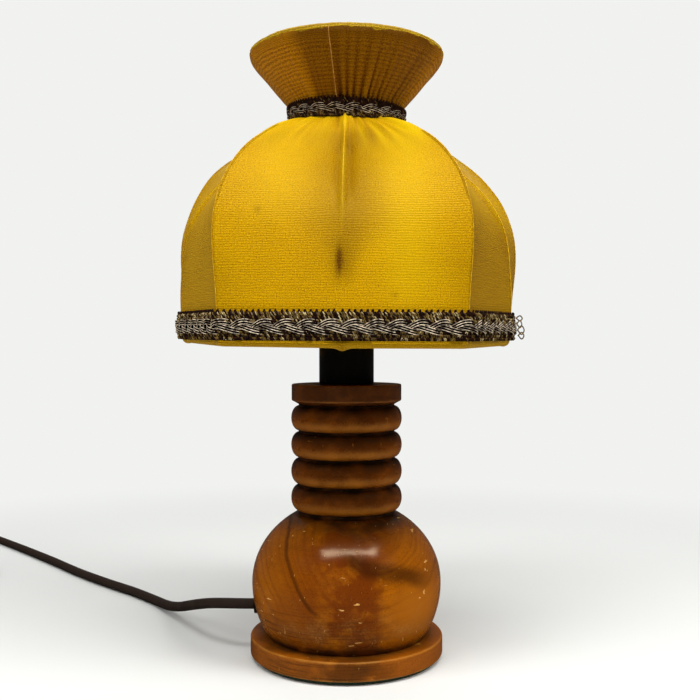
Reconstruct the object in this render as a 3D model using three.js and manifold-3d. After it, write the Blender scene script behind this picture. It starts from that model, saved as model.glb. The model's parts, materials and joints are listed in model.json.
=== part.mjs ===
// An art deco night lamp: a turned wooden base, a bakelite lamp holder, a wired fabric shade and
// a cord with a switch and a plug. Millimetres, +Z up, origin at the middle of the underside.
import * as THREE from 'three';
import { mergeVertices } from 'three/addons/utils/BufferGeometryUtils.js';
import Module from 'manifold-3d';

const wasm = await Module();
wasm.setup();

// Clearances shared by all pieces
const clearance = 0.3;
const overrun = 2;

// Felt, foot and ball
const felt_inset = 2.4;
const felt_thickness = 1.5;
const foot_overhang = 0.8;
const foot_thickness = 9.4;
const foot_edge_round = 1;
const ball_radius = 48.1;
const ball_lower_height = 26.2;
const ball_upper_height = 41;
const ball_seat_share = 0.844;
const ball_neck_share = 0.549;
const chamber_radius = 13;
const chamber_height = 34;
const wire_bore_radius = 6;

// Ribbed column and top disc
const column_radius = 28.3;
const groove_radius = 24.5;
const bead_count = 4;
const bead_pitch = 13.5;
const bead_half_height = 6.2;
const column_foot_height = 1.2;
const tenon_radius = 12;
const column_tenon_length = 15;
const disc_tenon_length = 8;
const disc_radius = 28.1;
const disc_thickness = 10.2;
const disc_chamfer = 0.8;
const disc_neck_height = 1.6;

// Wood screws that hold the foot to the ball
const screw_count = 3;
const screw_circle_radius = 27;
const screw_length = 28;
const screw_radius = 2;
const screw_head_radius = 4;
const screw_head_height = 2.4;
const screw_recess = 0.6;

// Threaded nipple and lamp holder
const nipple_radius = 5;
const nipple_bore_radius = 3.4;
const nipple_length = 28;
const nipple_reach = 7;
const holder_radius = 14;
const holder_wall = 2;
const holder_base_height = 26;
const holder_floor = 3;
const holder_body_height = 30;
const holder_lip_height = 4;
const holder_lip_step = 0.6;
const insert_radius = 11.6;
const insert_height = 11;
const terminal_screw_radius = 1.6;
const terminal_screw_length = 7;
const terminal_head_radius = 2.8;
const terminal_head_height = 1.8;
const terminal_offset = 6.5;
const contact_radius = 2.6;
const contact_height = 2.4;
const shell_bore_radius = 7.3;
const shell_wall = 0.5;
const shell_length = 27;
const shade_ring_radius = 21;
const shade_ring_height = 6.5;
const shade_ring_flutes = 18;
const shade_ring_flute_depth = 0.8;

// Lamp bulb with a small screw cap
const bulb_length = 85;
const bulb_radius = 12.5;
const bulb_neck_radius = 7.4;
const bulb_shoulder_height = 8;
const bulb_tip_height = 9;
const glass_wall = 0.8;
const cap_radius = 6.95;
const cap_height = 25;
const cap_flare_radius = 8.4;
const cap_flare_height = 3.4;
const cap_wall = 0.5;
const cap_taper_height = 3;
const cap_contact_radius = 3.4;
const cap_contact_height = 1.6;
const filament_wire_radius = 0.5;
const filament_height = 34;
const filament_half_width = 4.5;

// Shade: a five-sided dome with ten ribs, a waist and a flared collar
const side_count = 5;
const shade_turn_degrees = -1.3;
const hem_height = 157;
const dome_height = 111;
const collar_height = 36.9;
const corner_radius = 96.4;
const middle_radius = 84.2;
const waist_radius = 28.6;
const rim_radius = 49.3;
const cover_thickness = 1.2;
const rib_wire_radius = 1.3;
const ring_wire_radius = 1.5;
const rib_clearance = 0.7;
const corner_lean_share = 0.58;
const bottom_ring_lift = 3;
const rim_binding_wall = 0.8;
const gimp_thickness = 1.6;
const lower_gimp_lift = 2.8;
const lower_gimp_width = 13;
const waist_gimp_width = 9.6;
const fitter_radius = 19;
const fitter_thickness = 1.5;
const fitter_hub_height = 3;
const fitter_arm_radius = 1.4;
const dome_height_shares = [0, 0.15, 0.38, 0.54, 0.67, 0.78, 0.87, 0.94, 0.975, 1];
const corner_shares = [0.953, 0.97, 1, 0.97, 0.865, 0.71, 0.53, 0.335, 0.19, 0];
const middle_shares = [0.978, 0.997, 0.984, 0.905, 0.73, 0.505, 0.3, 0.135, 0.06, 0];
const collar_height_shares = [0, 0.16, 0.4, 0.68, 1];
const collar_radius_shares = [0, 0.01, 0.29, 0.64, 1];

// In-line switch
const switch_length = 62;
const switch_width = 26;
const switch_height = 17;
const switch_split = 7;
const switch_wall = 2.2;
const switch_corner_radius = 9;
const switch_edge_round = 1.6;
const rocker_length = 20;
const rocker_width = 11;
const rocker_rise = 2.6;
const rocker_depth = 4.6;
const rocker_pivot_depth = 1.6;
const rocker_tilt_degrees = 8;
const rocker_pin_radius = 1.1;
const cheek_thickness = 2.4;
const cheek_depth = 6;
const small_screw_radius = 1.5;
const small_screw_head_radius = 2.8;
const small_screw_head_height = 1.4;
const small_screw_length = 9;
const switch_screw_offset = 20;

// Cord
const cord_radius = 2.75;
const conductor_radius = 1.1;
const conductor_offset = 1.4;
const cord_exit_height = 25.2;
const bush_radius = 4.8;
const bush_length = 10;
const bush_stand = 0.6;
const inner_bend_radius = 11;
const cord_lying_height = 2.85;
const cord_route_offsets = [
  [0, 0, cord_exit_height],
  [-7.1, 0.2, cord_exit_height],
  [-15.6, 3, 24.6],
  [-23.6, 9.5, 22.8],
  [-31.6, 20, 19.4],
  [-39.1, 34, 14.8],
  [-47.6, 51, 9.4],
  [-57.6, 70, 4.9],
  [-68.6, 88, 3],
  [-85.9, 108, cord_lying_height],
  [-108.6, 130.4, cord_lying_height],
  [-133.9, 157.3, cord_lying_height],
  [-162.2, 191, cord_lying_height],
  [-198.9, 232.8, cord_lying_height],
  [-228.5, 265.2, cord_lying_height],
  [-236.6, 274, cord_lying_height],
  [-246.2, 280.7, cord_lying_height],
  [-258.6, 282, 2.9],
  [-270, 276.3, 3.4],
  [-276.8, 266.1, 4.8],
  [-278.4, 255, 6.5],
  [-278.4, 247, switch_split],
  [-278.4, 242, switch_split],
];

// Coil of spare cord
const coil_inner_radius = 22.5;
const coil_pitch = 6.1;
const coil_layer_step = 6.1;
const coil_loops = 6;
const coil_lead_in = 38;
const coil_lead_out = 47;
const steps_per_loop = 24;

// Two-pin plug
const plug_length = 40;
const plug_width = 36;
const plug_thickness = 17.6;
const plug_neck_width = 16;
const plug_edge_round = 2.2;
const plug_shoulder_share = 0.4;
const pin_radius = 2.4;
const pin_length = 19;
const pin_spacing = 19;
const pin_seat = 6;
const pin_tip_round = 1;
const plug_screw_offset = 12;

// Places that follow from the sizes
const foot_radius = ball_radius + foot_overhang;
const felt_radius = foot_radius - felt_inset;
const foot_bottom = felt_thickness + clearance;
const foot_top = foot_bottom + foot_thickness;
const ball_bottom = foot_top + clearance;
const ball_middle = ball_bottom + ball_lower_height;
const ball_top = ball_middle + ball_upper_height * Math.sqrt(1 - ball_neck_share ** 2);
const column_bottom = ball_top + clearance;
const bead_bottom = column_bottom + column_foot_height;
const column_top = bead_bottom + bead_count * bead_pitch;
const disc_bottom = column_top + clearance;
const disc_top = disc_bottom + disc_thickness;
const holder_bottom = disc_top + clearance;
const nipple_bottom = disc_top + nipple_reach - nipple_length;
const holder_split = holder_bottom + holder_base_height;
const insert_bottom = holder_split - insert_height - clearance;
const insert_top = insert_bottom + insert_height;
const contact_bottom = insert_top + clearance;
const contact_top = contact_bottom + contact_height;
const holder_body_bottom = holder_split + clearance;
const holder_top = holder_body_bottom + holder_body_height;
const shell_bottom = holder_body_bottom + clearance;
const bulb_bottom = contact_top + clearance;
const fitter_bottom = holder_top - holder_lip_height - shade_ring_height;
const shade_ring_bottom = fitter_bottom - clearance - shade_ring_height;
const waist_height = hem_height + dome_height;
const collar_bottom = waist_height + clearance;
const rim_height = collar_bottom + collar_height;
const rib_inset = cover_thickness + rib_clearance + rib_wire_radius;
const corner_rib_inset = cover_thickness + (rib_clearance + rib_wire_radius) / corner_lean_share;
const ball_lower_reach = ball_lower_height / Math.sqrt(1 - ball_seat_share ** 2);
const exit_share = (ball_middle - cord_exit_height) / ball_lower_reach;
const bush_end = ball_radius * Math.sqrt(1 - exit_share ** 2) + bush_stand;
const cord_route = cord_route_offsets.map(([x, y, z]) => [x - bush_end - clearance, y, z]);
const switch_end = cord_route.at(-1)[1] - clearance;
const switch_place = [cord_route.at(-1)[0], switch_end - switch_length / 2];
const coil_middle_x = switch_place[0] + coil_inner_radius + (coil_loops / 2) * coil_pitch;
const coil_middle_y = switch_end - switch_length - clearance - coil_lead_in;
const coil_top_z = cord_lying_height + coil_layer_step;
const plug_end = coil_middle_y - coil_lead_out - clearance;

// Finishes
const finishes = {
  felt: { color: 0x2f4a35, roughness: 0.95, metalness: 0 },
  wood: { color: 0x8a4a1c, roughness: 0.35, metalness: 0 },
  steel: { color: 0x9a9a98, roughness: 0.35, metalness: 1 },
  brass: { color: 0xb8923f, roughness: 0.3, metalness: 1 },
  bakelite: { color: 0x121110, roughness: 0.3, metalness: 0 },
  ceramic: { color: 0xe9e4d8, roughness: 0.4, metalness: 0 },
  rubber: { color: 0x33261c, roughness: 0.7, metalness: 0 },
  copper: { color: 0xb06a3c, roughness: 0.35, metalness: 1 },
  glass: { color: 0xf2f2ee, roughness: 0.1, metalness: 0 },
  wire: { color: 0xcfc7b0, roughness: 0.6, metalness: 0 },
  fabric: { color: 0xdca512, roughness: 0.6, metalness: 0 },
  gimp: { color: 0x4a3a24, roughness: 0.7, metalness: 0 },
};

const lamp = new THREE.Group();

function add(name, geometry, finish, place = lamp) {
  const mesh = new THREE.Mesh(geometry, new THREE.MeshStandardMaterial(finishes[finish]));
  mesh.name = name;
  place.add(mesh);
  return mesh;
}

// Surfaces and solids
function volumeOf(position, index) {
  const [a, b, c] = [new THREE.Vector3(), new THREE.Vector3(), new THREE.Vector3()];
  let volume = 0;
  for (let i = 0; i < index.length; i += 3) {
    a.fromBufferAttribute(position, index[i]);
    b.fromBufferAttribute(position, index[i + 1]);
    c.fromBufferAttribute(position, index[i + 2]);
    volume += a.dot(b.cross(c)) / 6;
  }
  return volume;
}

function closed(source) {
  const bare = source.clone();
  bare.deleteAttribute('normal');
  bare.deleteAttribute('uv');
  const merged = mergeVertices(bare, 1e-4);
  const index = [];
  for (let i = 0; i < merged.index.count; i += 3) {
    const [a, b, c] = [0, 1, 2].map((k) => merged.index.getX(i + k));
    if (a !== b && b !== c && c !== a) {
      index.push(a, b, c);
    }
  }
  if (volumeOf(merged.attributes.position, index) < 0) {
    index.reverse();
  }
  merged.setIndex(index);
  return merged;
}

function toSolid(source) {
  const geometry = closed(source);
  return new wasm.Manifold(new wasm.Mesh({
    numProp: 3,
    vertProperties: new Float32Array(geometry.attributes.position.array),
    triVerts: new Uint32Array(geometry.index.array),
  }));
}

function toGeometry(solid) {
  const mesh = solid.getMesh();
  const geometry = new THREE.BufferGeometry();
  geometry.setAttribute('position', new THREE.BufferAttribute(mesh.vertProperties, 3));
  geometry.setIndex(new THREE.BufferAttribute(mesh.triVerts, 1));
  return geometry;
}

function cut(base, ...cutters) {
  return toGeometry(cutters.reduce((solid, cutter) => solid.subtract(toSolid(cutter)), toSolid(base)));
}

function join(...parts) {
  const [first, ...rest] = parts.map(toSolid);
  return toGeometry(rest.reduce((solid, other) => solid.add(other), first));
}

function turned(outline, segments) {
  const points = outline.map(([radius, height]) => new THREE.Vector2(radius, height));
  return closed(new THREE.LatheGeometry(points, segments).rotateX(Math.PI / 2));
}

// A turned ring or sleeve, whose outline closes on itself
function turnedRing(outline, segments) {
  return turned([...outline, outline[0]], segments);
}

function rod(radius, bottom, top, segments = 16) {
  return turned([[0, bottom], [radius, bottom], [radius, top], [0, top]], segments);
}

function sleeve(outer, bore, bottom, top, segments = 32) {
  return turnedRing([[bore, bottom], [outer, bottom], [outer, top], [bore, top]], segments);
}

function arc(middle, radii, from, to, steps) {
  return Array.from({ length: steps + 1 }, (_, i) => {
    const angle = THREE.MathUtils.degToRad(from + ((to - from) * i) / steps);
    return [middle[0] + radii[0] * Math.cos(angle), middle[1] + radii[1] * Math.sin(angle)];
  });
}

// A tube of even section along a curve
function tube(curve, radius, sides, steps) {
  const section = new THREE.Shape(arc([0, 0], [radius, radius], 0, 360 - 360 / sides, sides - 1)
    .map(([x, y]) => new THREE.Vector2(x, y)));
  return closed(new THREE.ExtrudeGeometry(section, { steps, extrudePath: curve, bevelEnabled: false }));
}

function curveThrough(points) {
  return new THREE.CatmullRomCurve3(points.map((p) => new THREE.Vector3(...p)), false, 'centripetal');
}

// A closed shell between two grids of points; a wrapping one joins its last column to its first
function shell(outer, inner, wraps) {
  const rows = outer.length;
  const columns = outer[0].length;
  const positions = [...outer.flat(), ...inner.flat()].flatMap((p) => [p.x, p.y, p.z]);
  const at = (side, row, column) => side * rows * columns + row * columns + (column % columns);
  const index = [];
  const quad = (a, b, c, d) => index.push(a, b, c, a, c, d);
  const spans = wraps ? columns : columns - 1;
  for (let column = 0; column < spans; column += 1) {
    for (let row = 0; row < rows - 1; row += 1) {
      quad(at(0, row, column), at(0, row, column + 1), at(0, row + 1, column + 1), at(0, row + 1, column));
      quad(at(1, row, column), at(1, row + 1, column), at(1, row + 1, column + 1), at(1, row, column + 1));
    }
    quad(at(1, 0, column), at(1, 0, column + 1), at(0, 0, column + 1), at(0, 0, column));
    const last = rows - 1;
    quad(at(0, last, column), at(0, last, column + 1), at(1, last, column + 1), at(1, last, column));
  }
  for (let row = 0; row < rows - 1 && !wraps; row += 1) {
    const last = columns - 1;
    quad(at(0, row, 0), at(0, row + 1, 0), at(1, row + 1, 0), at(1, row, 0));
    quad(at(1, row, last), at(1, row + 1, last), at(0, row + 1, last), at(0, row, last));
  }
  const geometry = new THREE.BufferGeometry();
  geometry.setAttribute('position', new THREE.Float32BufferAttribute(positions, 3));
  geometry.setIndex(index);
  return closed(geometry);
}

function outlineShape(points) {
  return new THREE.Shape(points.map(([x, y]) => new THREE.Vector2(x, y)));
}

function roundedRectangle(width, length, corner) {
  const [x, y] = [width / 2 - corner, length / 2 - corner];
  const corners = [[x, y, 0], [-x, y, 90], [-x, -y, 180], [x, -y, 270]];
  return outlineShape(corners.flatMap(
    ([cx, cy, from]) => arc([cx, cy], [corner, corner], from, from + 90, 4),
  ));
}

// A plate of a given outline, with its edges rounded where edge isn't zero
function plate(shape, bottom, top, edge) {
  const geometry = new THREE.ExtrudeGeometry(shape, {
    depth: top - bottom - 2 * edge,
    bevelEnabled: edge > 0,
    bevelSize: edge,
    bevelOffset: -edge,
    bevelThickness: edge,
    bevelSegments: 1,
  });
  return geometry.translate(0, 0, bottom + edge);
}

function box(width, length, bottom, top) {
  return new THREE.BoxGeometry(width, length, top - bottom).translate(0, 0, (bottom + top) / 2);
}

function between(shares, from, to) {
  return shares.map((share) => from + (to - from) * share);
}

// Wooden base
function makeFelt() {
  add('felt_pad', rod(felt_radius, 0, felt_thickness, 36), 'felt');
}

function screwPlaces() {
  return Array.from({ length: screw_count }, (_, i) => {
    const angle = Math.PI / 2 + (i * 2 * Math.PI) / screw_count;
    return [screw_circle_radius * Math.cos(angle), screw_circle_radius * Math.sin(angle)];
  });
}

function screwOutline(grow) {
  const bottom = foot_bottom + screw_recess;
  const neck = bottom + screw_head_height;
  const tip = bottom + screw_length;
  return [
    [0, bottom - (grow ? overrun : 0)],
    [screw_head_radius + grow, bottom - (grow ? overrun : 0)],
    [screw_head_radius + grow, bottom],
    [screw_radius + grow, neck],
    [screw_radius + grow, tip - screw_radius * 2],
    [0, tip + grow],
  ];
}

function makeFoot() {
  const edge = foot_edge_round;
  const body = turned([
    [0, foot_bottom],
    ...arc([foot_radius - edge, foot_bottom + edge], [edge, edge], -90, 0, 2),
    ...arc([foot_radius - edge, foot_top - edge], [edge, edge], 0, 90, 2),
    [0, foot_top],
  ], 36);
  const holes = screwPlaces().map(([x, y]) => turned(screwOutline(clearance), 10).translate(x, y, 0));
  add('foot_disc', cut(body, ...holes), 'wood');
}

function makeBall() {
  const lower_from = -THREE.MathUtils.radToDeg(Math.acos(ball_seat_share));
  const upper_to = THREE.MathUtils.radToDeg(Math.acos(ball_neck_share));
  const socket_bottom = column_bottom - column_tenon_length - clearance;
  const body = turnedRing([
    [chamber_radius, ball_bottom],
    ...arc([0, ball_middle], [ball_radius, ball_lower_reach], lower_from, 0, 4),
    ...arc([0, ball_middle], [ball_radius, ball_upper_height], 0, upper_to, 6).slice(1),
    [tenon_radius + clearance, ball_top],
    [tenon_radius + clearance, socket_bottom],
    [wire_bore_radius, socket_bottom],
    [wire_bore_radius, ball_bottom + chamber_height],
    [chamber_radius, ball_bottom + chamber_height],
  ], 36);
  const side_hole = rod(bush_radius + clearance, chamber_radius / 2, ball_radius + overrun)
    .rotateY(-Math.PI / 2).translate(0, 0, cord_exit_height);
  const pilot_holes = screwPlaces().map(([x, y]) => turned(screwOutline(clearance), 10).translate(x, y, 0));
  add('ball_body', cut(body, side_hole, ...pilot_holes), 'wood');
}

function makeColumn() {
  const beads = Array.from({ length: bead_count }, (_, i) => arc(
    [groove_radius, bead_bottom + (i + 0.5) * bead_pitch],
    [column_radius - groove_radius, bead_half_height],
    -90,
    90,
    5,
  ));
  const outline = [
    [wire_bore_radius, column_bottom - column_tenon_length],
    [tenon_radius, column_bottom - column_tenon_length],
    [tenon_radius, column_bottom],
    [groove_radius, column_bottom],
    ...beads.flat(),
    [groove_radius, column_top],
    [tenon_radius + clearance, column_top],
    [tenon_radius + clearance, disc_bottom - disc_tenon_length - clearance],
    [wire_bore_radius, disc_bottom - disc_tenon_length - clearance],
  ];
  add('ribbed_column', turnedRing(outline, 28), 'wood');
}

function makeTopDisc() {
  const bore = nipple_radius + clearance;
  add('top_disc', turnedRing([
    [bore, disc_bottom - disc_tenon_length],
    [tenon_radius, disc_bottom - disc_tenon_length],
    [tenon_radius, disc_bottom],
    [groove_radius, disc_bottom],
    [disc_radius - disc_chamfer, disc_bottom + disc_neck_height],
    [disc_radius, disc_bottom + disc_neck_height + disc_chamfer],
    [disc_radius, disc_top - disc_chamfer],
    [disc_radius - disc_chamfer, disc_top],
    [bore, disc_top],
  ], 30), 'wood');
}

function makeFootScrews() {
  screwPlaces().forEach(([x, y], i) => {
    add(`foot_screw_${i + 1}`, turned(screwOutline(0), 10), 'steel').position.set(x, y, 0);
  });
}

// Lamp holder
function makeHolder() {
  const nipple_top = nipple_bottom + nipple_length;
  add('nipple', sleeve(nipple_radius, nipple_bore_radius, nipple_bottom, nipple_top, 20), 'steel');
  const bore = nipple_radius + clearance;
  const inside = holder_radius - holder_wall;
  add('holder_base', turnedRing([
    [bore, holder_bottom],
    [holder_radius, holder_bottom],
    [holder_radius, holder_split],
    [inside, holder_split],
    [inside, holder_bottom + holder_floor],
    [bore, holder_bottom + holder_floor],
  ], 24), 'bakelite');
  const body_bore = shell_bore_radius + shell_wall + clearance;
  add('holder_body', turnedRing([
    [body_bore, holder_body_bottom],
    [holder_radius, holder_body_bottom],
    [holder_radius, holder_top - holder_lip_height],
    [holder_radius - holder_lip_step, holder_top - holder_lip_height],
    [holder_radius - holder_lip_step, holder_top],
    [body_bore, holder_top],
  ], 24), 'bakelite');
  const shell_radius = shell_bore_radius + shell_wall;
  const shell_top = shell_bottom + shell_length;
  add('screw_shell', sleeve(shell_radius, shell_bore_radius, shell_bottom, shell_top, 20), 'brass');
  add('centre_contact', turned([
    [0, contact_bottom],
    [contact_radius, contact_bottom],
    [contact_radius, contact_bottom + contact_height / 2],
    [contact_radius / 2, contact_top],
    [0, contact_top],
  ], 16), 'brass');
  makeTerminals();
}

function makeTerminals() {
  const hole_top = insert_bottom + terminal_screw_length;
  const hole = rod(terminal_screw_radius + clearance, insert_bottom - overrun, hole_top, 12);
  const sides = { live: terminal_offset, neutral: -terminal_offset };
  const holes = Object.values(sides).map((x) => hole.clone().translate(x, 0, 0));
  add('terminal_insert', cut(rod(insert_radius, insert_bottom, insert_top, 24), ...holes), 'ceramic');
  const head_top = insert_bottom - clearance;
  const screw = turned([
    [0, head_top - terminal_head_height],
    [terminal_head_radius, head_top - terminal_head_height],
    [terminal_head_radius, head_top],
    [terminal_screw_radius, head_top],
    [terminal_screw_radius, head_top + terminal_screw_length],
    [0, head_top + terminal_screw_length],
  ], 12);
  Object.entries(sides).forEach(([side, x]) => {
    add(`terminal_screw_${side}`, screw.clone(), 'brass').position.x = x;
    const start = nipple_bottom + nipple_length + clearance;
    const end = head_top - terminal_head_height - clearance;
    const near = Math.sign(x) * conductor_offset;
    const path = curveThrough([
      [near, 0, start],
      [near, 0, start + conductor_radius],
      [x, 0, end - conductor_radius],
      [x, 0, end],
    ]);
    add(`conductor_${side}`, tube(path, conductor_radius, 6, 6), 'copper');
  });
}

function makeShadeRing() {
  const points = Array.from({ length: shade_ring_flutes * 4 }, (_, i) => {
    const angle = (i * Math.PI) / (shade_ring_flutes * 2);
    const radius = shade_ring_radius - (i % 4 === 0 ? shade_ring_flute_depth : 0);
    return [radius * Math.cos(angle), radius * Math.sin(angle)];
  });
  const body = plate(outlineShape(points), shade_ring_bottom, shade_ring_bottom + shade_ring_height, 0);
  const bore = rod(holder_radius + clearance, shade_ring_bottom - overrun, fitter_bottom, 24);
  add('shade_ring', cut(body, bore), 'bakelite');
}

// Lamp bulb
function makeBulb() {
  const cap_top = bulb_bottom + cap_height;
  const flare_bottom = holder_top + clearance;
  const cap_bottom = bulb_bottom + cap_contact_height + clearance;
  const outside = [
    [cap_contact_radius, cap_bottom],
    [cap_radius, cap_bottom + cap_taper_height],
    [cap_radius, flare_bottom],
    [cap_flare_radius, flare_bottom + cap_wall],
    [cap_flare_radius, flare_bottom + cap_flare_height],
  ];
  const inside = [
    [cap_flare_radius - cap_wall, flare_bottom + cap_flare_height],
    [cap_flare_radius - cap_wall, flare_bottom + 2 * cap_wall],
    [cap_radius - cap_wall, flare_bottom + cap_wall],
    [cap_radius - cap_wall, cap_bottom + cap_taper_height],
    [cap_contact_radius - cap_wall, cap_bottom + cap_wall],
  ];
  add('bulb_cap', turnedRing([...outside, ...inside], 18), 'brass');
  add('bulb_contact', turned([
    [0, bulb_bottom],
    ...arc([0, bulb_bottom + cap_contact_height], [cap_contact_radius, cap_contact_height], -60, 0, 3),
    [0, bulb_bottom + cap_contact_height],
  ], 16), 'brass');
  const glass_bottom = Math.max(cap_top - cap_flare_height, flare_bottom + 2 * cap_wall + clearance);
  const bulb_top = bulb_bottom + bulb_length;
  const skin = (wall) => [
    [bulb_neck_radius - wall, glass_bottom],
    [bulb_neck_radius - wall, glass_bottom + cap_flare_height],
    [bulb_radius - wall, glass_bottom + cap_flare_height + bulb_shoulder_height],
    [bulb_radius - wall, bulb_top - bulb_tip_height],
    ...arc([0, bulb_top - bulb_tip_height], [bulb_radius - wall, bulb_tip_height - wall], 22.5, 90, 3),
  ];
  add('bulb_glass', turned([...skin(0), ...skin(glass_wall).reverse(), skin(0)[0]], 18), 'glass');
  const foot = glass_bottom + clearance;
  const side = filament_half_width;
  const leg = bulb_neck_radius - glass_wall - clearance - filament_wire_radius;
  const arch = curveThrough([
    [-leg, 0, foot],
    [-side, 0, foot + filament_height / 2],
    [-side, 0, foot + filament_height],
    [0, side / 2, foot + filament_height + side],
    [side, 0, foot + filament_height],
    [side, 0, foot + filament_height / 2],
    [leg, 0, foot],
  ]);
  add('bulb_filament', tube(arch, filament_wire_radius, 5, 14), 'steel');
}

// Shade
const half_side = Math.PI / side_count;
const shade_turn = THREE.MathUtils.degToRad(shade_turn_degrees - 90);
const dome_heights = between(dome_height_shares, hem_height, waist_height);
const collar_heights = between(collar_height_shares, collar_bottom, rim_height);
const corner_line = outlineOf(corner_shares, corner_radius, dome_heights);
const middle_line = outlineOf(middle_shares, middle_radius, dome_heights);
const collar_line = outlineOf(collar_radius_shares, rim_radius, collar_heights);

// An outline of the shade, as pairs of radius and height; its radii are shares of the way out from
// the waist
function outlineOf(radius_shares, widest, heights) {
  return between(radius_shares, waist_radius, widest).map((radius, i) => [radius, heights[i]]);
}

// Moves an outline of the shade sideways, square to itself; inwards where distance is above zero
function insetLine(line, distance) {
  return line.map(([radius, height], i) => {
    const before = line[Math.max(i - 1, 0)];
    const after = line[Math.min(i + 1, line.length - 1)];
    const [across, up] = [after[0] - before[0], after[1] - before[1]];
    const long = Math.hypot(across, up);
    return [radius - (distance * up) / long, height + (distance * across) / long];
  });
}

function onCircle(radius, angle, height) {
  return new THREE.Vector3(radius * Math.cos(angle), radius * Math.sin(angle), height);
}

// A point of the cover: rib is the rib's number, and share runs straight on to the next rib
function coverPoint(corner, middle, rib, share) {
  const [here, next] = rib % 2 === 0 ? [middle, corner] : [corner, middle];
  const angle = shade_turn + rib * half_side;
  return onCircle(here[0], angle, here[1]).lerp(onCircle(next[0], angle + half_side, next[1]), share);
}

function coverRow(row, distance, from_rib, ribs, steps) {
  const corner = insetLine(corner_line, distance)[row];
  const middle = insetLine(middle_line, distance)[row];
  const points = [];
  for (let i = 0; i < ribs * steps; i += 1) {
    points.push(coverPoint(corner, middle, from_rib + Math.floor(i / steps), (i % steps) / steps));
  }
  return { points, last: coverPoint(corner, middle, from_rib + ribs - 1, 1) };
}

function makeDomePanels() {
  for (let side = 0; side < side_count; side += 1) {
    const grid = (distance) => dome_heights.map((_, row) => {
      const { points, last } = coverRow(row, distance, 2 * side - 1, 2, 3);
      const full = [...points, last];
      const middle = new THREE.Vector3().addVectors(full[0], last).multiplyScalar(0.5);
      const narrow = 1 - clearance / full[0].distanceTo(last);
      [full[0], last].forEach((p) => p.sub(middle).multiplyScalar(narrow).add(middle));
      return full;
    });
    add(`dome_panel_${side + 1}`, shell(grid(0), grid(cover_thickness), false), 'fabric');
  }
}

function turnedGrid(line, segments) {
  const angles = Array.from({ length: segments }, (_, i) => shade_turn + (i * 2 * Math.PI) / segments);
  return line.map(([radius, height]) => angles.map((angle) => onCircle(radius, angle, height)));
}

function makeCollar() {
  const binding_reach = 2 * (ring_wire_radius + clearance + rim_binding_wall);
  const scale = (collar_height - binding_reach) / collar_height;
  const lowered = (height) => collar_bottom + (height - collar_bottom) * scale;
  const line = collar_line.map(([radius, height]) => [radius, lowered(height)]);
  const [outside, inside] = [line, insetLine(line, cover_thickness)].map((l) => turnedGrid(l, 30));
  add('collar_cover', shell(outside, inside, true), 'fabric');
  const middle = [rim_radius - binding_reach / 2, rim_height - binding_reach / 2];
  add('top_ring', turnedRing(arc(middle, [ring_wire_radius, ring_wire_radius], 0, 300, 5), 30), 'wire');
  const outer = ring_wire_radius + clearance + rim_binding_wall;
  const inner = ring_wire_radius + clearance;
  add('rim_binding', turnedRing([
    ...arc(middle, [outer, outer], -30, 210, 5),
    ...arc(middle, [inner, inner], 210, -30, 5),
  ], 30), 'fabric');
  return middle;
}

function makeRibs(ring_middle) {
  const ring_clear = ring_wire_radius + rib_wire_radius + clearance;
  const collar_rib = insetLine(collar_line, rib_inset).slice(1, -1);
  const foot = hem_height + bottom_ring_lift + ring_clear;
  for (let rib = 0; rib < 2 * side_count; rib += 1) {
    const is_middle = rib % 2 === 0;
    const line = is_middle ? insetLine(middle_line, rib_inset) : insetLine(corner_line, corner_rib_inset);
    const rise = line.slice(1, -2);
    const path = [
      [rise[0][0], Math.min(foot, rise[0][1] - clearance)],
      ...rise,
      [waist_radius - rib_inset, waist_height - corner_rib_inset / 2],
      ...collar_rib,
      [ring_middle[0] - rib_wire_radius / 2, ring_middle[1] - ring_wire_radius - rib_wire_radius],
    ];
    const angle = shade_turn + rib * half_side;
    const points = path.map(([radius, height]) => onCircle(radius, angle, height).toArray());
    const name = `${is_middle ? 'middle' : 'corner'}_rib_${Math.floor(rib / 2) + 1}`;
    add(name, tube(curveThrough(points), rib_wire_radius, 5, 20), 'wire');
  }
}

function loopAround(distance, height, wire_radius) {
  const middle = coverRow(0, distance, 0, 2 * side_count, 3).points;
  const ring = (angle) => middle.map((p) => {
    const radius = Math.hypot(p.x, p.y);
    const out = (radius + wire_radius * Math.cos(angle)) / radius;
    return new THREE.Vector3(p.x * out, p.y * out, height + wire_radius * Math.sin(angle));
  });
  const half = [90, 30, -30, -90].map((degrees) => ring(THREE.MathUtils.degToRad(degrees)));
  const back = [90, 150, 210, 270].map((degrees) => ring(THREE.MathUtils.degToRad(degrees)));
  return shell(half, back, true);
}

function makeRings() {
  const bottom_inset = rib_inset + (ring_wire_radius - rib_wire_radius);
  add('bottom_ring', loopAround(bottom_inset, hem_height + bottom_ring_lift, ring_wire_radius), 'wire');
  const waist_ring_radius = waist_radius - rib_inset - rib_wire_radius - clearance - ring_wire_radius;
  const section = arc([waist_ring_radius, waist_height], [ring_wire_radius, ring_wire_radius], 0, 300, 5);
  add('waist_ring', turnedRing(section, 24), 'wire');
}

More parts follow.
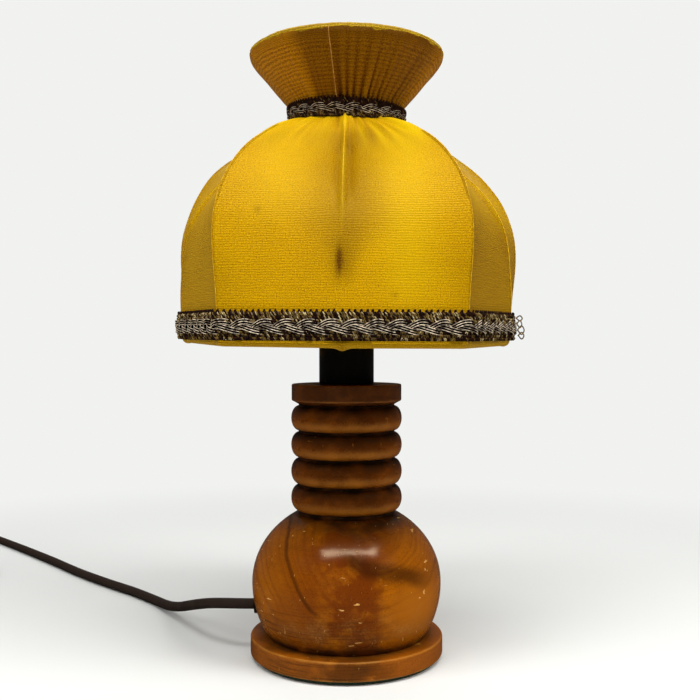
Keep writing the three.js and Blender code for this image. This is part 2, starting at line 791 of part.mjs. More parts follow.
function makeGimps() {
  const low = hem_height + lower_gimp_lift;
  const heights = between([0, 1], low, low + lower_gimp_width);
  const row = (height, distance) => {
    const share = (height - dome_heights[0]) / (dome_heights[1] - dome_heights[0]);
    const [a, b] = [0, 1].map((k) => coverRow(k, -distance, 0, 2 * side_count, 3).points);
    return a.map((p, i) => {
      const q = p.clone().lerp(b[i], share);
      return new THREE.Vector3(q.x, q.y, height);
    });
  };
  const outer = heights.map((height) => row(height, clearance + gimp_thickness));
  const inner = heights.map((height) => row(height, clearance));
  add('lower_gimp', shell(outer, inner, true), 'gimp');
  const waist_low = collar_bottom + clearance;
  const clear = waist_radius + clearance;
  const spread = (rim_radius - waist_radius) * collar_radius_shares[2] * 0.6;
  const waist_line = [
    [clear, waist_low],
    [clear + spread * 0.2, waist_low + waist_gimp_width / 2],
    [clear + spread, waist_low + waist_gimp_width],
  ];
  const waist_outside = waist_line.map(([radius, height]) => [radius + gimp_thickness, height]);
  add('waist_gimp', shell(turnedGrid(waist_outside, 30), turnedGrid(waist_line, 30), true), 'gimp');
}

function makeFitter() {
  const hub_bore = holder_radius + clearance;
  const hub_top = fitter_bottom + fitter_thickness;
  const hub = sleeve(fitter_radius, hub_bore, fitter_bottom, hub_top, 24);
  const arm_height = fitter_bottom + fitter_hub_height;
  const reach = middle_radius - rib_wire_radius - rib_inset - 1.5 * clearance;
  const arms = Array.from({ length: side_count }, (_, side) => {
    const angle = shade_turn + 2 * side * half_side;
    const start = (holder_radius + fitter_radius) / 2 + fitter_arm_radius;
    return rod(fitter_arm_radius, start, reach, 6)
      .rotateY(Math.PI / 2).rotateZ(angle).translate(0, 0, arm_height);
  });
  const boss_bore = fitter_radius - 2 * fitter_arm_radius;
  const boss = sleeve(fitter_radius, boss_bore, fitter_bottom, arm_height + fitter_arm_radius, 24);
  add('fitter', join(hub, boss, ...arms), 'wire');
}

// Cord, bush and inner lead
function makeCord() {
  const bush = sleeve(bush_radius, cord_radius + clearance, bush_end - bush_length, bush_end, 20);
  add('cord_bush', bush.rotateY(-Math.PI / 2).translate(0, 0, cord_exit_height), 'bakelite');
  const bend = inner_bend_radius;
  const inner_path = curveThrough([
    [-bush_end, 0, cord_exit_height],
    [-bend - cord_radius, 0, cord_exit_height],
    ...arc([-bend, cord_exit_height + bend], [bend, bend], -75, -15, 4).map(([x, z]) => [x, 0, z]),
    [0, 0, cord_exit_height + bend + cord_radius],
    [0, 0, nipple_bottom + nipple_length],
  ]);
  add('cord_inside', tube(inner_path, cord_radius, 8, 14), 'rubber');
  add('cord_lead', tube(curveThrough(cord_route), cord_radius, 8, 42), 'rubber');
}

class CoilCurve extends THREE.Curve {
  constructor() {
    super();
    this.outer = coil_inner_radius + (coil_loops / 2) * coil_pitch;
    this.turning = 2 * Math.PI * coil_loops * (coil_inner_radius + this.outer) / 2;
    this.whole = coil_lead_in + this.turning + coil_lead_out;
  }

  getPoint(t, target = new THREE.Vector3()) {
    const along = t * this.whole;
    const low = cord_lying_height;
    const left = coil_middle_x - this.outer;
    if (along < coil_lead_in) {
      const fall = Math.min(along / (coil_lead_in - 2 * cord_radius), 1);
      const drop = (1 - Math.cos(Math.PI * fall)) / 2;
      const start = cord_route.at(-1)[2];
      return target.set(left, coil_middle_y + coil_lead_in - along, start + (low - start) * drop);
    }
    if (along > coil_lead_in + this.turning) {
      return target.set(left, coil_middle_y - (along - coil_lead_in - this.turning), coil_top_z);
    }
    const turn = coil_loops * ((along - coil_lead_in) / this.turning);
    const half = coil_loops / 2;
    const radius = coil_inner_radius + Math.abs(turn - half) * coil_pitch;
    const climb = THREE.MathUtils.clamp((turn - half + 0.25) * 2, 0, 1);
    const angle = Math.PI + 2 * Math.PI * turn;
    return target.set(
      coil_middle_x + radius * Math.cos(angle),
      coil_middle_y + radius * Math.sin(angle),
      low + coil_layer_step * climb,
    );
  }
}

// The least distance between the surfaces of two places of one tube that aren't neighbours
function leastGap(points, radius) {
  const step = points[0].distanceTo(points[1]);
  const apart = Math.ceil((4 * radius * Math.PI) / step);
  let least = Infinity;
  for (let i = 0; i < points.length; i += 1) {
    for (let j = i + apart; j < points.length; j += 1) {
      least = Math.min(least, points[i].distanceTo(points[j]) - 2 * radius);
    }
  }
  return least;
}

function makeCoil() {
  const curve = new CoilCurve();
  const mean_loop = curve.turning / coil_loops;
  const steps = Math.round((curve.whole / mean_loop) * steps_per_loop);
  add('cord_coil', tube(curve, cord_radius, 6, steps), 'rubber');
  const gap = leastGap(curve.getSpacedPoints(1500), cord_radius);
  console.log(`coil: least gap to itself ${gap.toFixed(2)} mm`);
  const lead = curveThrough(cord_route).getLength();
  console.log(`cord: lead ${lead.toFixed(0)} mm, coil ${curve.getLength().toFixed(0)} mm`);
}

// In-line switch, made round its own middle with its length along Y
function switchScrewHole(radius, bottom, top) {
  return rod(radius, bottom, top, 12).translate(0, -switch_screw_offset, 0);
}

function cordEntry() {
  return rod(cord_radius + clearance, -switch_length, switch_length)
    .rotateX(Math.PI / 2).translate(0, 0, switch_split);
}

function makeSwitchBase(place, seat, hollow) {
  const above = box(2 * switch_width, 2 * switch_length, switch_split - clearance / 2, 2 * switch_height);
  const tray = plate(hollow, switch_wall, switch_height, 0);
  const post_radius = small_screw_head_radius + switch_wall;
  const post = switchScrewHole(post_radius, switch_wall / 2, switch_split - clearance);
  const body = join(cut(seat, above, tray), post);
  const screw_hole = switchScrewHole(small_screw_radius + clearance, -overrun, switch_height);
  const sink_radius = small_screw_head_radius + clearance;
  const screw_sink = switchScrewHole(sink_radius, -overrun, small_screw_head_height + clearance);
  add('switch_base', cut(body, cordEntry(), screw_hole, screw_sink), 'bakelite', place);
}

function makeSwitchCover(place, seat, hollow, pin_height, cheek_side) {
  const below = box(2 * switch_width, 2 * switch_length, -overrun, switch_split + clearance / 2);
  const roof = switch_height - switch_wall;
  const cavity = plate(hollow, 0, roof, 0);
  const cheek_bottom = switch_height - rocker_pivot_depth - cheek_depth;
  const cheek_top = switch_height - switch_edge_round;
  const cheeks = [-cheek_side, cheek_side].map(
    (x) => box(cheek_thickness, rocker_length, cheek_bottom, cheek_top).translate(x, 0, 0),
  );
  const boss = switchScrewHole(2 * small_screw_radius, switch_split + clearance, roof + switch_wall / 2);
  const body = join(cut(seat, below, cavity), ...cheeks, boss);
  const slot = box(rocker_width + 2 * clearance, rocker_length + 2 * clearance, 0, 2 * switch_height);
  const pin_reach = cheek_side + cheek_thickness / 4;
  const pin_hole = rod(rocker_pin_radius + clearance, -pin_reach, pin_reach, 12)
    .rotateY(Math.PI / 2).translate(0, 0, pin_height);
  const thread = switchScrewHole(small_screw_radius + clearance, 0, roof);
  add('switch_cover', cut(body, slot, pin_hole, cordEntry(), thread), 'bakelite', place);
}

function makeSwitch() {
  const place = new THREE.Group();
  place.position.set(switch_place[0], switch_place[1], 0);
  lamp.add(place);
  const outline = roundedRectangle(switch_width, switch_length, switch_corner_radius);
  const seat = plate(outline, 0, switch_height, switch_edge_round);
  const hollow = roundedRectangle(
    switch_width - 2 * switch_wall,
    switch_length - 4 * switch_wall,
    switch_corner_radius - switch_wall,
  );
  const pin_height = switch_height - rocker_pivot_depth - rocker_pin_radius;
  const cheek_side = rocker_width / 2 + clearance + cheek_thickness / 2;
  makeSwitchBase(place, seat, hollow);
  makeSwitchCover(place, seat, hollow, pin_height, cheek_side);
  makeRocker(place, pin_height, cheek_side);
  const head = small_screw_head_height;
  const screw = turned([
    [0, clearance],
    [small_screw_head_radius, clearance],
    [small_screw_head_radius, head],
    [small_screw_radius, head],
    [small_screw_radius, head + small_screw_length],
    [0, head + small_screw_length],
  ], 12);
  add('switch_screw', screw, 'brass', place).position.set(0, -switch_screw_offset, 0);
}

function makeRocker(place, pivot, cheek_side) {
  const half = rocker_length / 2 - clearance;
  const rise = rocker_rise + rocker_pivot_depth;
  const outline = outlineShape([
    [-half, rise],
    [-half, 0],
    [-half / 2, -rocker_depth],
    [half / 2, -rocker_depth],
    [half, 0],
    [half, rise],
    [half / 2, rise * 0.75],
    [0, rise * 0.65],
    [-half / 2, rise * 0.75],
  ]);
  const body = new THREE.ExtrudeGeometry(outline, { depth: rocker_width, bevelEnabled: false })
    .translate(0, 0, -rocker_width / 2).rotateX(Math.PI / 2).rotateZ(Math.PI / 2);
  const bore = rod(rocker_pin_radius + clearance, -rocker_width, rocker_width, 12).rotateY(Math.PI / 2);
  const tilted = cut(body, bore).rotateX(THREE.MathUtils.degToRad(rocker_tilt_degrees));
  add('switch_rocker', tilted, 'ceramic', place).position.z = pivot;
  const pin = rod(rocker_pin_radius, -cheek_side, cheek_side, 12).rotateY(Math.PI / 2);
  add('rocker_pin', pin, 'steel', place).position.z = pivot;
}

// Two-pin plug, made with its cord end at its own origin and its pins towards -Y
function makePlug() {
  const place = new THREE.Group();
  place.position.set(switch_place[0], plug_end, coil_top_z);
  lamp.add(place);
  const [neck, wide, shoulder] = [plug_neck_width / 2, plug_width / 2, plug_length * plug_shoulder_share];
  const half = [
    [neck, 0],
    [neck, -shoulder / 2],
    [wide - neck / 2, -shoulder],
    [wide, -shoulder - neck / 2],
    [wide, -plug_length],
  ];
  const shape = outlineShape([...half, ...half.map(([x, y]) => [-x, y]).reverse()]);
  const thick = Math.min(plug_thickness, 2 * coil_top_z) / 2;
  const body = plate(shape, -thick, thick, plug_edge_round);
  const lead_hole = rod(cord_radius + clearance, -overrun, shoulder / 2, 12).rotateX(Math.PI / 2);
  const pin_hole = rod(pin_radius + clearance, plug_length - pin_seat, plug_length + overrun, 16)
    .rotateX(Math.PI / 2);
  const pin_holes = [-1, 1].map((side) => pin_hole.clone().translate((side * pin_spacing) / 2, 0, 0));
  const screw_y = -plug_screw_offset - shoulder;
  const head_bottom = thick - small_screw_head_height;
  const sink = rod(small_screw_head_radius + clearance, head_bottom - clearance, thick + overrun, 12)
    .translate(0, screw_y, 0);
  const thread_bottom = thick - small_screw_length - 2 * clearance;
  const thread = rod(small_screw_radius + clearance, thread_bottom, thick, 12).translate(0, screw_y, 0);
  add('plug_body', cut(body, lead_hole, ...pin_holes, sink, thread), 'bakelite', place);
  const start = plug_length - pin_seat + clearance;
  const end = plug_length + pin_length;
  const pin = turned([
    [0, start],
    [pin_radius, start],
    [pin_radius, end - pin_tip_round],
    [pin_radius - pin_tip_round, end],
    [0, end],
  ], 16).rotateX(Math.PI / 2);
  [-1, 1].forEach((side, i) => {
    add(`plug_pin_${i + 1}`, pin.clone(), 'brass', place).position.x = (side * pin_spacing) / 2;
  });
  const screw = turned([
    [0, thick - small_screw_length],
    [small_screw_radius, thick - small_screw_length],
    [small_screw_radius, head_bottom],
    [small_screw_head_radius, head_bottom],
    [small_screw_head_radius, thick - clearance],
    [0, thick - clearance],
  ], 12);
  add('plug_screw', screw, 'brass', place).position.y = screw_y;
}

makeFelt();
makeFoot();
makeBall();
makeColumn();
makeTopDisc();
makeFootScrews();
makeHolder();
makeShadeRing();
makeBulb();
makeDomePanels();
makeRibs(makeCollar());
makeRings();
makeGimps();
makeFitter();
makeCord();
makeSwitch();
makeCoil();
makePlug();

export default lamp;
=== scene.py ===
# %% [markdown]
# Art deco night lamp
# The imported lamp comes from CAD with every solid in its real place. This lesson gives it the looks
# of the real thing: worn varnished wood, black bakelite, taut gold satin on a wire frame, and a
# braided trim. The frame is never moved, so that every new piece fits it.

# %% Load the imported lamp
import json
import math
from bisect import bisect_right
from functools import cache

import bmesh
import bpy
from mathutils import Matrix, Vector
from mathutils.noise import noise


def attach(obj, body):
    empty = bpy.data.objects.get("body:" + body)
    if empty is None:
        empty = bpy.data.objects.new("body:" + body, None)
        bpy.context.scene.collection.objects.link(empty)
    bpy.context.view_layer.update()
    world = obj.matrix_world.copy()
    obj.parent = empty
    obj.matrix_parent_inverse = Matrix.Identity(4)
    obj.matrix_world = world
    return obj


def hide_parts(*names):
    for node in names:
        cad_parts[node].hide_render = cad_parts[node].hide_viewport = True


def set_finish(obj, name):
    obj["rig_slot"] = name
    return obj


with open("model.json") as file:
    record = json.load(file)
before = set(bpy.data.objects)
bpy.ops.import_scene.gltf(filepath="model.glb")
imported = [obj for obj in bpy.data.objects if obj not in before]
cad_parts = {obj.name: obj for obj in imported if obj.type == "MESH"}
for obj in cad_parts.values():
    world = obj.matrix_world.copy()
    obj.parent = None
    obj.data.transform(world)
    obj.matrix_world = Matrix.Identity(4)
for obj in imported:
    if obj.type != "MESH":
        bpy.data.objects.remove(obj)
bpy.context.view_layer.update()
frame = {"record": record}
MM = 0.001

# %% [markdown]
# The camera stands level with the hem of the shade, half a metre in front of the lamp, as the
# photographer did. It is turned by a fraction of a degree in place of a lens shift, so that other
# views of the lamp stay straight.

# %% Camera
view_data = bpy.data.cameras.new("camera")
view_data.lens = 47.93
view_data.clip_start = 0.01
camera = bpy.data.objects.new("camera", view_data)
camera.location = (0, -0.478, 0.1568)
camera.rotation_euler = (math.radians(89.816), 0, math.radians(-0.215))
bpy.context.scene.collection.objects.link(camera)
bpy.context.scene.camera = camera
print("camera at", tuple(camera.location))

# %% [markdown]
# Cords and threads are curves. A spline through a few known points gives a smooth path, and a
# round bevel gives it thickness. The radius is kept in the points, so it can change on the way.

# %% Helpers for curves
def spline_through(points, steps=8):
    """Points along a centripetal spline that passes through all the given points."""
    ends = [2 * points[0] - points[1], *points, 2 * points[-1] - points[-2]]
    path = []
    for a, b, c, d in zip(ends, ends[1:], ends[2:], ends[3:]):
        t1 = math.sqrt((b - a).length)
        t2 = t1 + math.sqrt((c - b).length)
        t3 = t2 + math.sqrt((d - c).length)
        for i in range(steps):
            t = t1 + (t2 - t1) * i / steps
            p1 = a.lerp(b, t / t1)
            p2 = b.lerp(c, (t - t1) / (t2 - t1))
            p3 = c.lerp(d, (t - t2) / (t3 - t2))
            q1 = p1.lerp(p2, t / t2)
            q2 = p2.lerp(p3, (t - t1) / (t3 - t1))
            path.append(q1.lerp(q2, (t - t1) / (t2 - t1)))
    return [*path, points[-1].copy()]


def path_length(points):
    return sum((b - a).length for a, b in zip(points, points[1:]))


def round_piece(name, paths, radius, round_steps=1, closed=False, thin=None):
    """Round cords or threads as one curve: a spline for each path, whose points hold the radius."""
    data = bpy.data.curves.new(name, "CURVE")
    data.dimensions = "3D"
    data.bevel_depth = 1
    data.bevel_resolution = round_steps
    data.use_fill_caps = True
    for path in paths:
        spline = data.splines.new("POLY")
        spline.points.add(len(path) - 1)
        spline.use_cyclic_u = closed
        for i, place in enumerate(path):
            spline.points[i].co = (*place, 1)
            spline.points[i].radius = radius * (thin(i / (len(path) - 1)) if thin else 1)
    piece = bpy.data.objects.new(name, data)
    bpy.context.scene.collection.objects.link(piece)
    return piece


def around(radius, angle, height):
    return Vector((radius * math.cos(angle), radius * math.sin(angle), height))


print("curve helpers ready")

# %% [markdown]
# The cord comes first, because it decides how far the model reaches. A lamp cord is a fixed length
# of something flexible, so it is one open spline that lies on the table. The points are those of
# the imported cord, taken from the bush in the ball.

# %% Cord from the ball to the switch
cord_radius = 2.75 * MM
cord_start = Vector((-47.4, 0, 0))
lying, in_switch = 2.85, 7
lead_steps = [
    (0, 0, 25.2), (-7.1, 0.2, 25.2), (-15.6, 3, 24.6), (-23.6, 9.5, 22.8), (-31.6, 20, 19.4),
    (-39.1, 34, 14.8), (-47.6, 51, 9.4), (-57.6, 70, 4.9), (-68.6, 88, 3), (-85.9, 108, lying),
    (-108.6, 130.4, lying), (-133.9, 157.3, lying), (-162.2, 191, lying), (-198.9, 232.8, lying),
    (-228.5, 265.2, lying), (-236.6, 274, lying), (-246.2, 280.7, lying), (-258.6, 282, 2.9),
    (-270, 276.3, 3.4), (-276.8, 266.1, 4.8), (-278.4, 255, 6.5), (-278.4, 247, in_switch),
    (-278.4, 242, in_switch),
]
lead_points = [(cord_start + Vector(step)) * MM for step in lead_steps]
lead_path = spline_through(lead_points)
lead = round_piece("lead_cord", [lead_path], cord_radius, 4)
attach(lead, "stand")
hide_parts("cord_lead")
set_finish(lead, "cord_sheath")
path_length(lead_path)
print("lead:", round(path_length(lead_path), 3), "m")

# %% [markdown]
# The rest of the cord is what nobody needs while the lamp stands on a shelf. It is wound into a
# flat coil of two layers: from the outside in on the table, and from the inside out on top. One
# formula of the distance along the cord gives the whole winding, and it ends at the plug.

# %% Coil of spare cord
coil_pitch, coil_loops, coil_inside = 6.1, 6, 22.5
coil_outside = coil_inside + coil_pitch * coil_loops / 2
coil_lead_in, coil_lead_out = 38, 47
coil_turning = math.pi * coil_loops * (coil_inside + coil_outside)
coil_whole = coil_lead_in + coil_turning + coil_lead_out
switch_x, switch_back, switch_length = cord_start.x - 278.4, 241.7, 62.3
coil_middle = Vector((switch_x + coil_outside, switch_back - switch_length - coil_lead_in, 0))


def coil_point(along):
    if along < coil_lead_in:
        fall = min(along / (coil_lead_in - 5.5), 1)
        height = in_switch + (lying - in_switch) * (1 - math.cos(math.pi * fall)) / 2
        return Vector((switch_x, coil_middle.y + coil_lead_in - along, height))
    if along > coil_lead_in + coil_turning:
        past = along - coil_lead_in - coil_turning
        return Vector((switch_x, coil_middle.y - past, lying + coil_pitch))
    turn = coil_loops * (along - coil_lead_in) / coil_turning
    climb = min(max((turn - coil_loops / 2 + 0.25) * 2, 0), 1)
    radius = coil_inside + abs(turn - coil_loops / 2) * coil_pitch
    return coil_middle + around(radius, math.pi + math.tau * turn, lying + coil_pitch * climb)


coil_path = [coil_point(coil_whole * i / 360) * MM for i in range(361)]
coil = round_piece("coiled_cord", [coil_path], cord_radius, 4)
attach(coil, "stand")
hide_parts("cord_coil")
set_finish(coil, "cord_sheath")
path_length(coil_path)
print("coil:", round(path_length(coil_path), 3), "m")

# %% [markdown]
# Turned pieces are spun from half of their outline. A spin keeps the outline exact, and enough steps make it
# round. Small roundings are arcs in the outline itself. Two numbers are stored at each point. One says how
# far it is shown lighter: where crests and corners rub bare, and where some edges carry painted light. The
# other says how far it is shown darker: with dirt, and with painted shade in grooves and where other parts
# shadow it.

# %% Helpers for shapes
def near(value, target, width):
    """1 at the target, and less and less away from it."""
    return math.exp(-((value - target) / width) ** 2)


def rise(amount, over=1):
    """Goes smoothly from 0 to 1 while the amount goes from 0 to over."""
    share = min(max(amount / over, 0), 1)
    return share * share * (3 - 2 * share)


def up_by(height):
    return Vector((0, 0, height))


def finish_mesh(name, shape, body, slot, sharp):
    mesh = bpy.data.meshes.new(name)
    shape.to_mesh(mesh)
    shape.free()
    mesh.shade_smooth()
    if sharp:
        mesh.set_sharp_from_angle(angle=math.radians(sharp))
    piece = bpy.data.objects.new(name, mesh)
    bpy.context.scene.collection.objects.link(piece)
    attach(piece, body)
    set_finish(piece, slot)
    return piece


def bow(middle, radii, start, end, steps):
    """Points of an arc of an outline, as (radius, height)."""
    angles = [math.radians(start + (end - start) * i / steps) for i in range(steps + 1)]
    return [(middle[0] + radii[0] * math.cos(a), middle[1] + radii[1] * math.sin(a)) for a in angles]


def spun(name, outline, body="stand", slot="varnished_wood", steps=128, closed=True, sharp=40):
    """A turned piece from an outline of (radius, height) in millimetres."""
    shape = bmesh.new()
    verts = [shape.verts.new((r * MM, 0, z * MM)) for r, z in outline]
    pairs = list(zip(verts, verts[1:]))
    if closed:
        pairs.append((verts[-1], verts[0]))
    edges = [shape.edges.new(pair) for pair in pairs]
    bmesh.ops.spin(
        shape, geom=verts + edges, cent=(0, 0, 0), axis=(0, 0, 1), angle=math.tau,
        steps=steps, use_merge=True,
    )
    bmesh.ops.remove_doubles(shape, verts=shape.verts, dist=1e-6)
    loose = [edge for edge in shape.edges if not edge.link_faces]
    bmesh.ops.delete(shape, geom=loose, context="EDGES")
    bmesh.ops.recalc_face_normals(shape, faces=shape.faces)
    return finish_mesh(name, shape, body, slot, sharp)


def mark(piece, **levels):
    """Stores numbers at each point for the material; r is the distance from the lamp's axis."""
    for name, level_at in levels.items():
        layer = piece.data.attributes.new(name, "FLOAT", "POINT")
        for i, vert in enumerate(piece.data.vertices):
            p = vert.co / MM
            layer.data[i].value = min(max(level_at(p, math.hypot(p.x, p.y)), 0), 1)


print("shape helpers ready")

# %% [markdown]
# The foot, ball, column and top disc are beech or birch, turned and glued together. Each keeps the
# outline of its solid, with finer steps and softened corners.

# %% Wooden base
foot = spun("foot_wood", [
    (0, 1.8), *bow((47.9, 2.8), (1, 1), -90, 0, 5), (48.9, 4), (48.9, 8.9),
    *bow((47.7, 10), (1.2, 1.2), 0, 90, 6), (42, 11.2), (38, 11.2), (0, 11.2),
], closed=False)
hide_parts("foot_disc")
# Lighter: the rubbed edges; the line along the top edge is also a painted highlight. Darker: painted shade in
# the ring where the ball stands, and a band low on one side.
mark(
    foot,
    wear=lambda p, r: 0.7 * near(r, 48.6, 0.8) * (near(p.z, 10.8, 0.9) + near(p.z, 2.2, 0.9)),
    dirt=lambda p, r: near(r, 40.6, 1.8) * (p.z > 10) + 0.35 * near(p.z, 6, 4) * (p.x < 10),
)

ball = spun("ball_wood", [
    (13, 11.5), *bow((0, 37.7), (48.1, 48.85), -32.43, 0, 14), *bow((0, 37.7), (48.1, 41), 0, 56.7, 26)[1:],
    (12.3, 71.97), (12.3, 57), (6, 57), (6, 45.5), (13, 45.5),
])
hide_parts("ball_body")
# Lighter: a band below the widest part. Darker: painted shade at the bottom next to the foot, and at the top
# under the column, most in front.
mark(
    ball,
    wear=lambda p, r: 0.3 * near(p.z, 24, 12) * (r > 40),
    dirt=lambda p, r: near(p.z, 11, 3) + 0.4 * near(p.z, 11, 13) + near(p.z, 73.5, 5.5)
    + 0.5 * near(p.z, 69, 7) * near(p.x, 7, 17) * (p.y < 0),
)

column_low, column_top = 72.27, 127.47
bead_low, bead_pitch = 73.47, 13.5
beads = [
    point for i in range(4)
    for point in bow((24.5, bead_low + bead_pitch * (i + 0.5)), (3.8, 6.2), -90, 90, 14)
]
column = spun("column_wood", [
    (6, 57.27), (12, 57.27), (12, column_low), (24.5, column_low), *beads, (24.5, column_top),
    (12.3, column_top), (12.3, 119.47), (6, 119.47),
], sharp=50)
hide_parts("ribbed_column")
# Lighter: the lower part of each bead, painted light as if lit from the table below. Darker: dirt and painted
# shade in the grooves, and painted shade over the top of each bead.
mark(
    column,
    wear=lambda p, r: 0.8 * (r > 25.5) * near((p.z - bead_low) % bead_pitch, 3.4, 3.2),
    dirt=lambda p, r: near(r, 24.4, 1.6) + 0.8 * near((p.z - bead_low) % bead_pitch, 12, 4),
)

disc = spun("disc_wood", [
    (5.3, 119.77), (12, 119.77), (12, 127.77), (24.5, 127.77), (27, 129.2),
    *bow((27.3, 130.2), (0.8, 0.8), -60, 0, 4), (28.1, 131.4), (28.1, 136.2),
    *bow((27.5, 137.3), (0.6, 0.67), 0, 90, 4), (24, 137.97), (15, 137.97), (5.3, 137.97),
])
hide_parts("top_disc")
# Lighter: its two edges, most of all the lower one, partly rubbed and partly painted light. Darker: painted
# shade over its side, which lies under the lampshade, and in the ring where the holder stands.
mark(
    disc,
    wear=lambda p, r: near(r, 28, 0.7) * (0.25 * near(p.z, 137.6, 0.8) + 0.6 * near(p.z, 129.8, 0.8)),
    dirt=lambda p, r: near(r, 14.5, 2) * (p.z > 137) + 0.5 * (p.z < 137.5),
)
print("wooden pieces:", foot.name, ball.name, column.name, disc.name)

# %% [markdown]
# The lamp holder is black bakelite in two screwed halves. The ring round it, which carries the shade, is
# shown as imported. The bulb is a slim frosted one. All follow the solids' own outlines.

# %% Lamp holder and bulb
holder_base = spun("holder_cup", [
    (5.3, 138.27), *bow((13.4, 138.87), (0.6, 0.6), -90, 0, 3), (14, 163.9), (13.7, 164.27), (12, 164.27),
    (12, 141.27), (5.3, 141.27),
], slot="bakelite", steps=96)
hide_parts("holder_base")
holder_body = spun("holder_sleeve", [
    (8.1, 164.57), (13.7, 164.57), (14, 164.9), (14, 190.57), (13.4, 190.57),
    *bow((12.8, 193.97), (0.6, 0.6), 0, 90, 3), (8.1, 194.57),
], slot="bakelite", steps=96)
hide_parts("holder_body")


def bulb_skin(inset):
    neck = 7.4 - inset
    return [
        (neck, 195.87), (neck, 199.27), *bow((neck + 6, 199.27), (6, 3), 180, 130, 4)[1:],
        *bow((6.6 - inset, 207.27), (5.9, 3.4), -40, 0, 4), (12.5 - inset, 242.97),
        *bow((0, 242.97), (12.5 - inset, 9 - inset), 15, 90, 9),
    ]


glass_wall = 0.8
bulb_outline = [*bulb_skin(0), *reversed(bulb_skin(glass_wall))]
bulb = spun("bulb_envelope", bulb_outline, "bulb", "glass", steps=64)
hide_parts("bulb_glass")
print("turned:", holder_base.name, holder_body.name, bulb.name)

# %% [markdown]
# The shade is cloth pulled tight over ten bent wires. Five corner ribs stand out and five middle
# ribs lie between them, so that each side of the dome is nearly flat at the hem and dips into a
# valley near the waist. A row is one level of the dome, at a share of the corner rib's length.

# %% Ribs of the dome
side_turn = math.radians(36)
first_rib = math.radians(-91.3)
corner_outline = [
    (91.8, 157), (92.2, 168), (93.2, 182), (94.9, 197), (95.3, 206), (94.3, 216), (91.4, 225), (87, 233.5),
    (81, 241), (73.6, 248), (64, 254.5), (54, 259.6), (44.5, 263.4), (36, 266.4), (29.4, 268.3),
    (28.3, 270.8),
]
middle_outline = [
    (83, 157), (83.8, 168), (84.2, 182), (84.1, 194.5), (82.6, 205), (80, 214.4), (74, 226), (66.5, 235),
    (57.5, 243), (49, 250), (41, 257), (33, 264), (29.2, 268.2), (28.3, 270.8),
]


def smooth_outline(outline):
    return spline_through([Vector((r, 0, z)) for r, z in outline], 6)


corner_path = smooth_outline(corner_outline)
middle_path = smooth_outline(middle_outline)
corner_far = [0]
for one, other in zip(corner_path, corner_path[1:]):
    corner_far.append(corner_far[-1] + (other - one).length)
rib_length = corner_far[-1]


@cache
def dome_row(share):
    """Radii of corner and middle, height and slope at a share of the corner outline's length."""
    far = share * rib_length
    i = max(k for k in range(len(corner_far) - 1) if corner_far[k] <= far or k == 0)
    start, end = corner_path[i], corner_path[i + 1]
    spot = start.lerp(end, (far - corner_far[i]) / (corner_far[i + 1] - corner_far[i]))
    middle = middle_path[-1].x
    for low, high in zip(middle_path, middle_path[1:]):
        if spot.z <= high.z:
            middle = low.x + (high.x - low.x) * (spot.z - low.z) / (high.z - low.z)
            break
    return spot.x, middle, spot.z, (end - start).normalized()


def lean(place, amount=1):
    """The hem hangs a little lower in front than behind: the wires are bent by use."""
    drop = 1.6 - 0.0094 * place.x + 0.0352 * min(place.y, 0) + 0.01 * max(place.y, 0)
    return place + up_by(amount * drop * rise(205 - place.z, 45))


print("dome outline:", round(rib_length, 1), "mm from hem to waist")

# %% [markdown]
# One function of where a point lies across the ribs and along them gives the surface. The cloth's
# own relief is added square to it: a ridge over each wire, a dip beside each middle seam, small
# gathers under the waist.

# %% Surface of the dome
def gathers(angle, height):
    return noise(around(1, angle, height / 400) * 14)


def dome_point(across, share, relief=1):
    """A point of the dome's cloth and its distances from the ribs beside it, in millimetres."""
    corner, middle, height, slope = dome_row(share)
    rib = math.floor(across)
    part = across - rib
    from_middle = rib % 2 == 0
    here, there = (middle, corner) if from_middle else (corner, middle)
    angle = first_rib + rib * side_turn
    start, end = around(here, angle, height), around(there, angle + side_turn, height)
    place = start.lerp(end, part)
    wide = (end - start).length
    to_middle = wide * (part if from_middle else 1 - part)
    to_corner = wide - to_middle
    facing = angle + part * side_turn
    out = around(slope.z, facing, -slope.x)

    sag = 5.2 * part * (1 - part) * rise(share * 2.5) * rise((1 - share) * 3)
    ridge = 0.35 * near(to_corner, 0, 1.1) + 0.6 * near(to_middle, 0, 0.7) * rise(height - 200, 22)
    upper = rise(height - 212, 24) * rise(267.5 - height, 5)
    upper *= rise(to_middle - 0.8, 1.2) * (1 - 0.5 * rise(height - 248, 6))
    valley = (1.6 + 0.8 * from_middle) * near(to_middle, 2.4, 2.6) + 1.6 * near(to_middle, 0, 11)
    dent = 0.9 * near(to_middle, 0.8, 1.3) * near(height, 194, 8)
    tucked = rise(269.5 - height, 4)
    gather = max(gathers(facing, height), -0.3 * rise(min(to_middle, to_corner), 4))
    gather *= 2.8 * rise(height - 250, 16) * tucked
    seam = 0.45 * rise(3.4 - to_middle, 0.7) * rise(height - 258, 8) * tucked
    left_bulge = 2.6 * near(math.degrees(facing) % 360, 167, 24) * near(height, 249, 13)
    push = ridge + seam + left_bulge - sag - valley * upper - dent
    push += (gather + 0.2 * noise(place / 24)) * relief
    return lean(place + out * push), to_middle, to_corner


print("front seam meets the waist at", [round(c, 1) for c in dome_point(0, 1)[0]])

# %% [markdown]
# Each side of the dome is one cut of cloth between two corner ribs. It starts as a flat grid whose
# points are carried to the surface, and its UV map keeps millimetres of cloth, so that the fine
# ribs of the weave run along the rows and stay the same size. Solidify gives the cloth its wall.

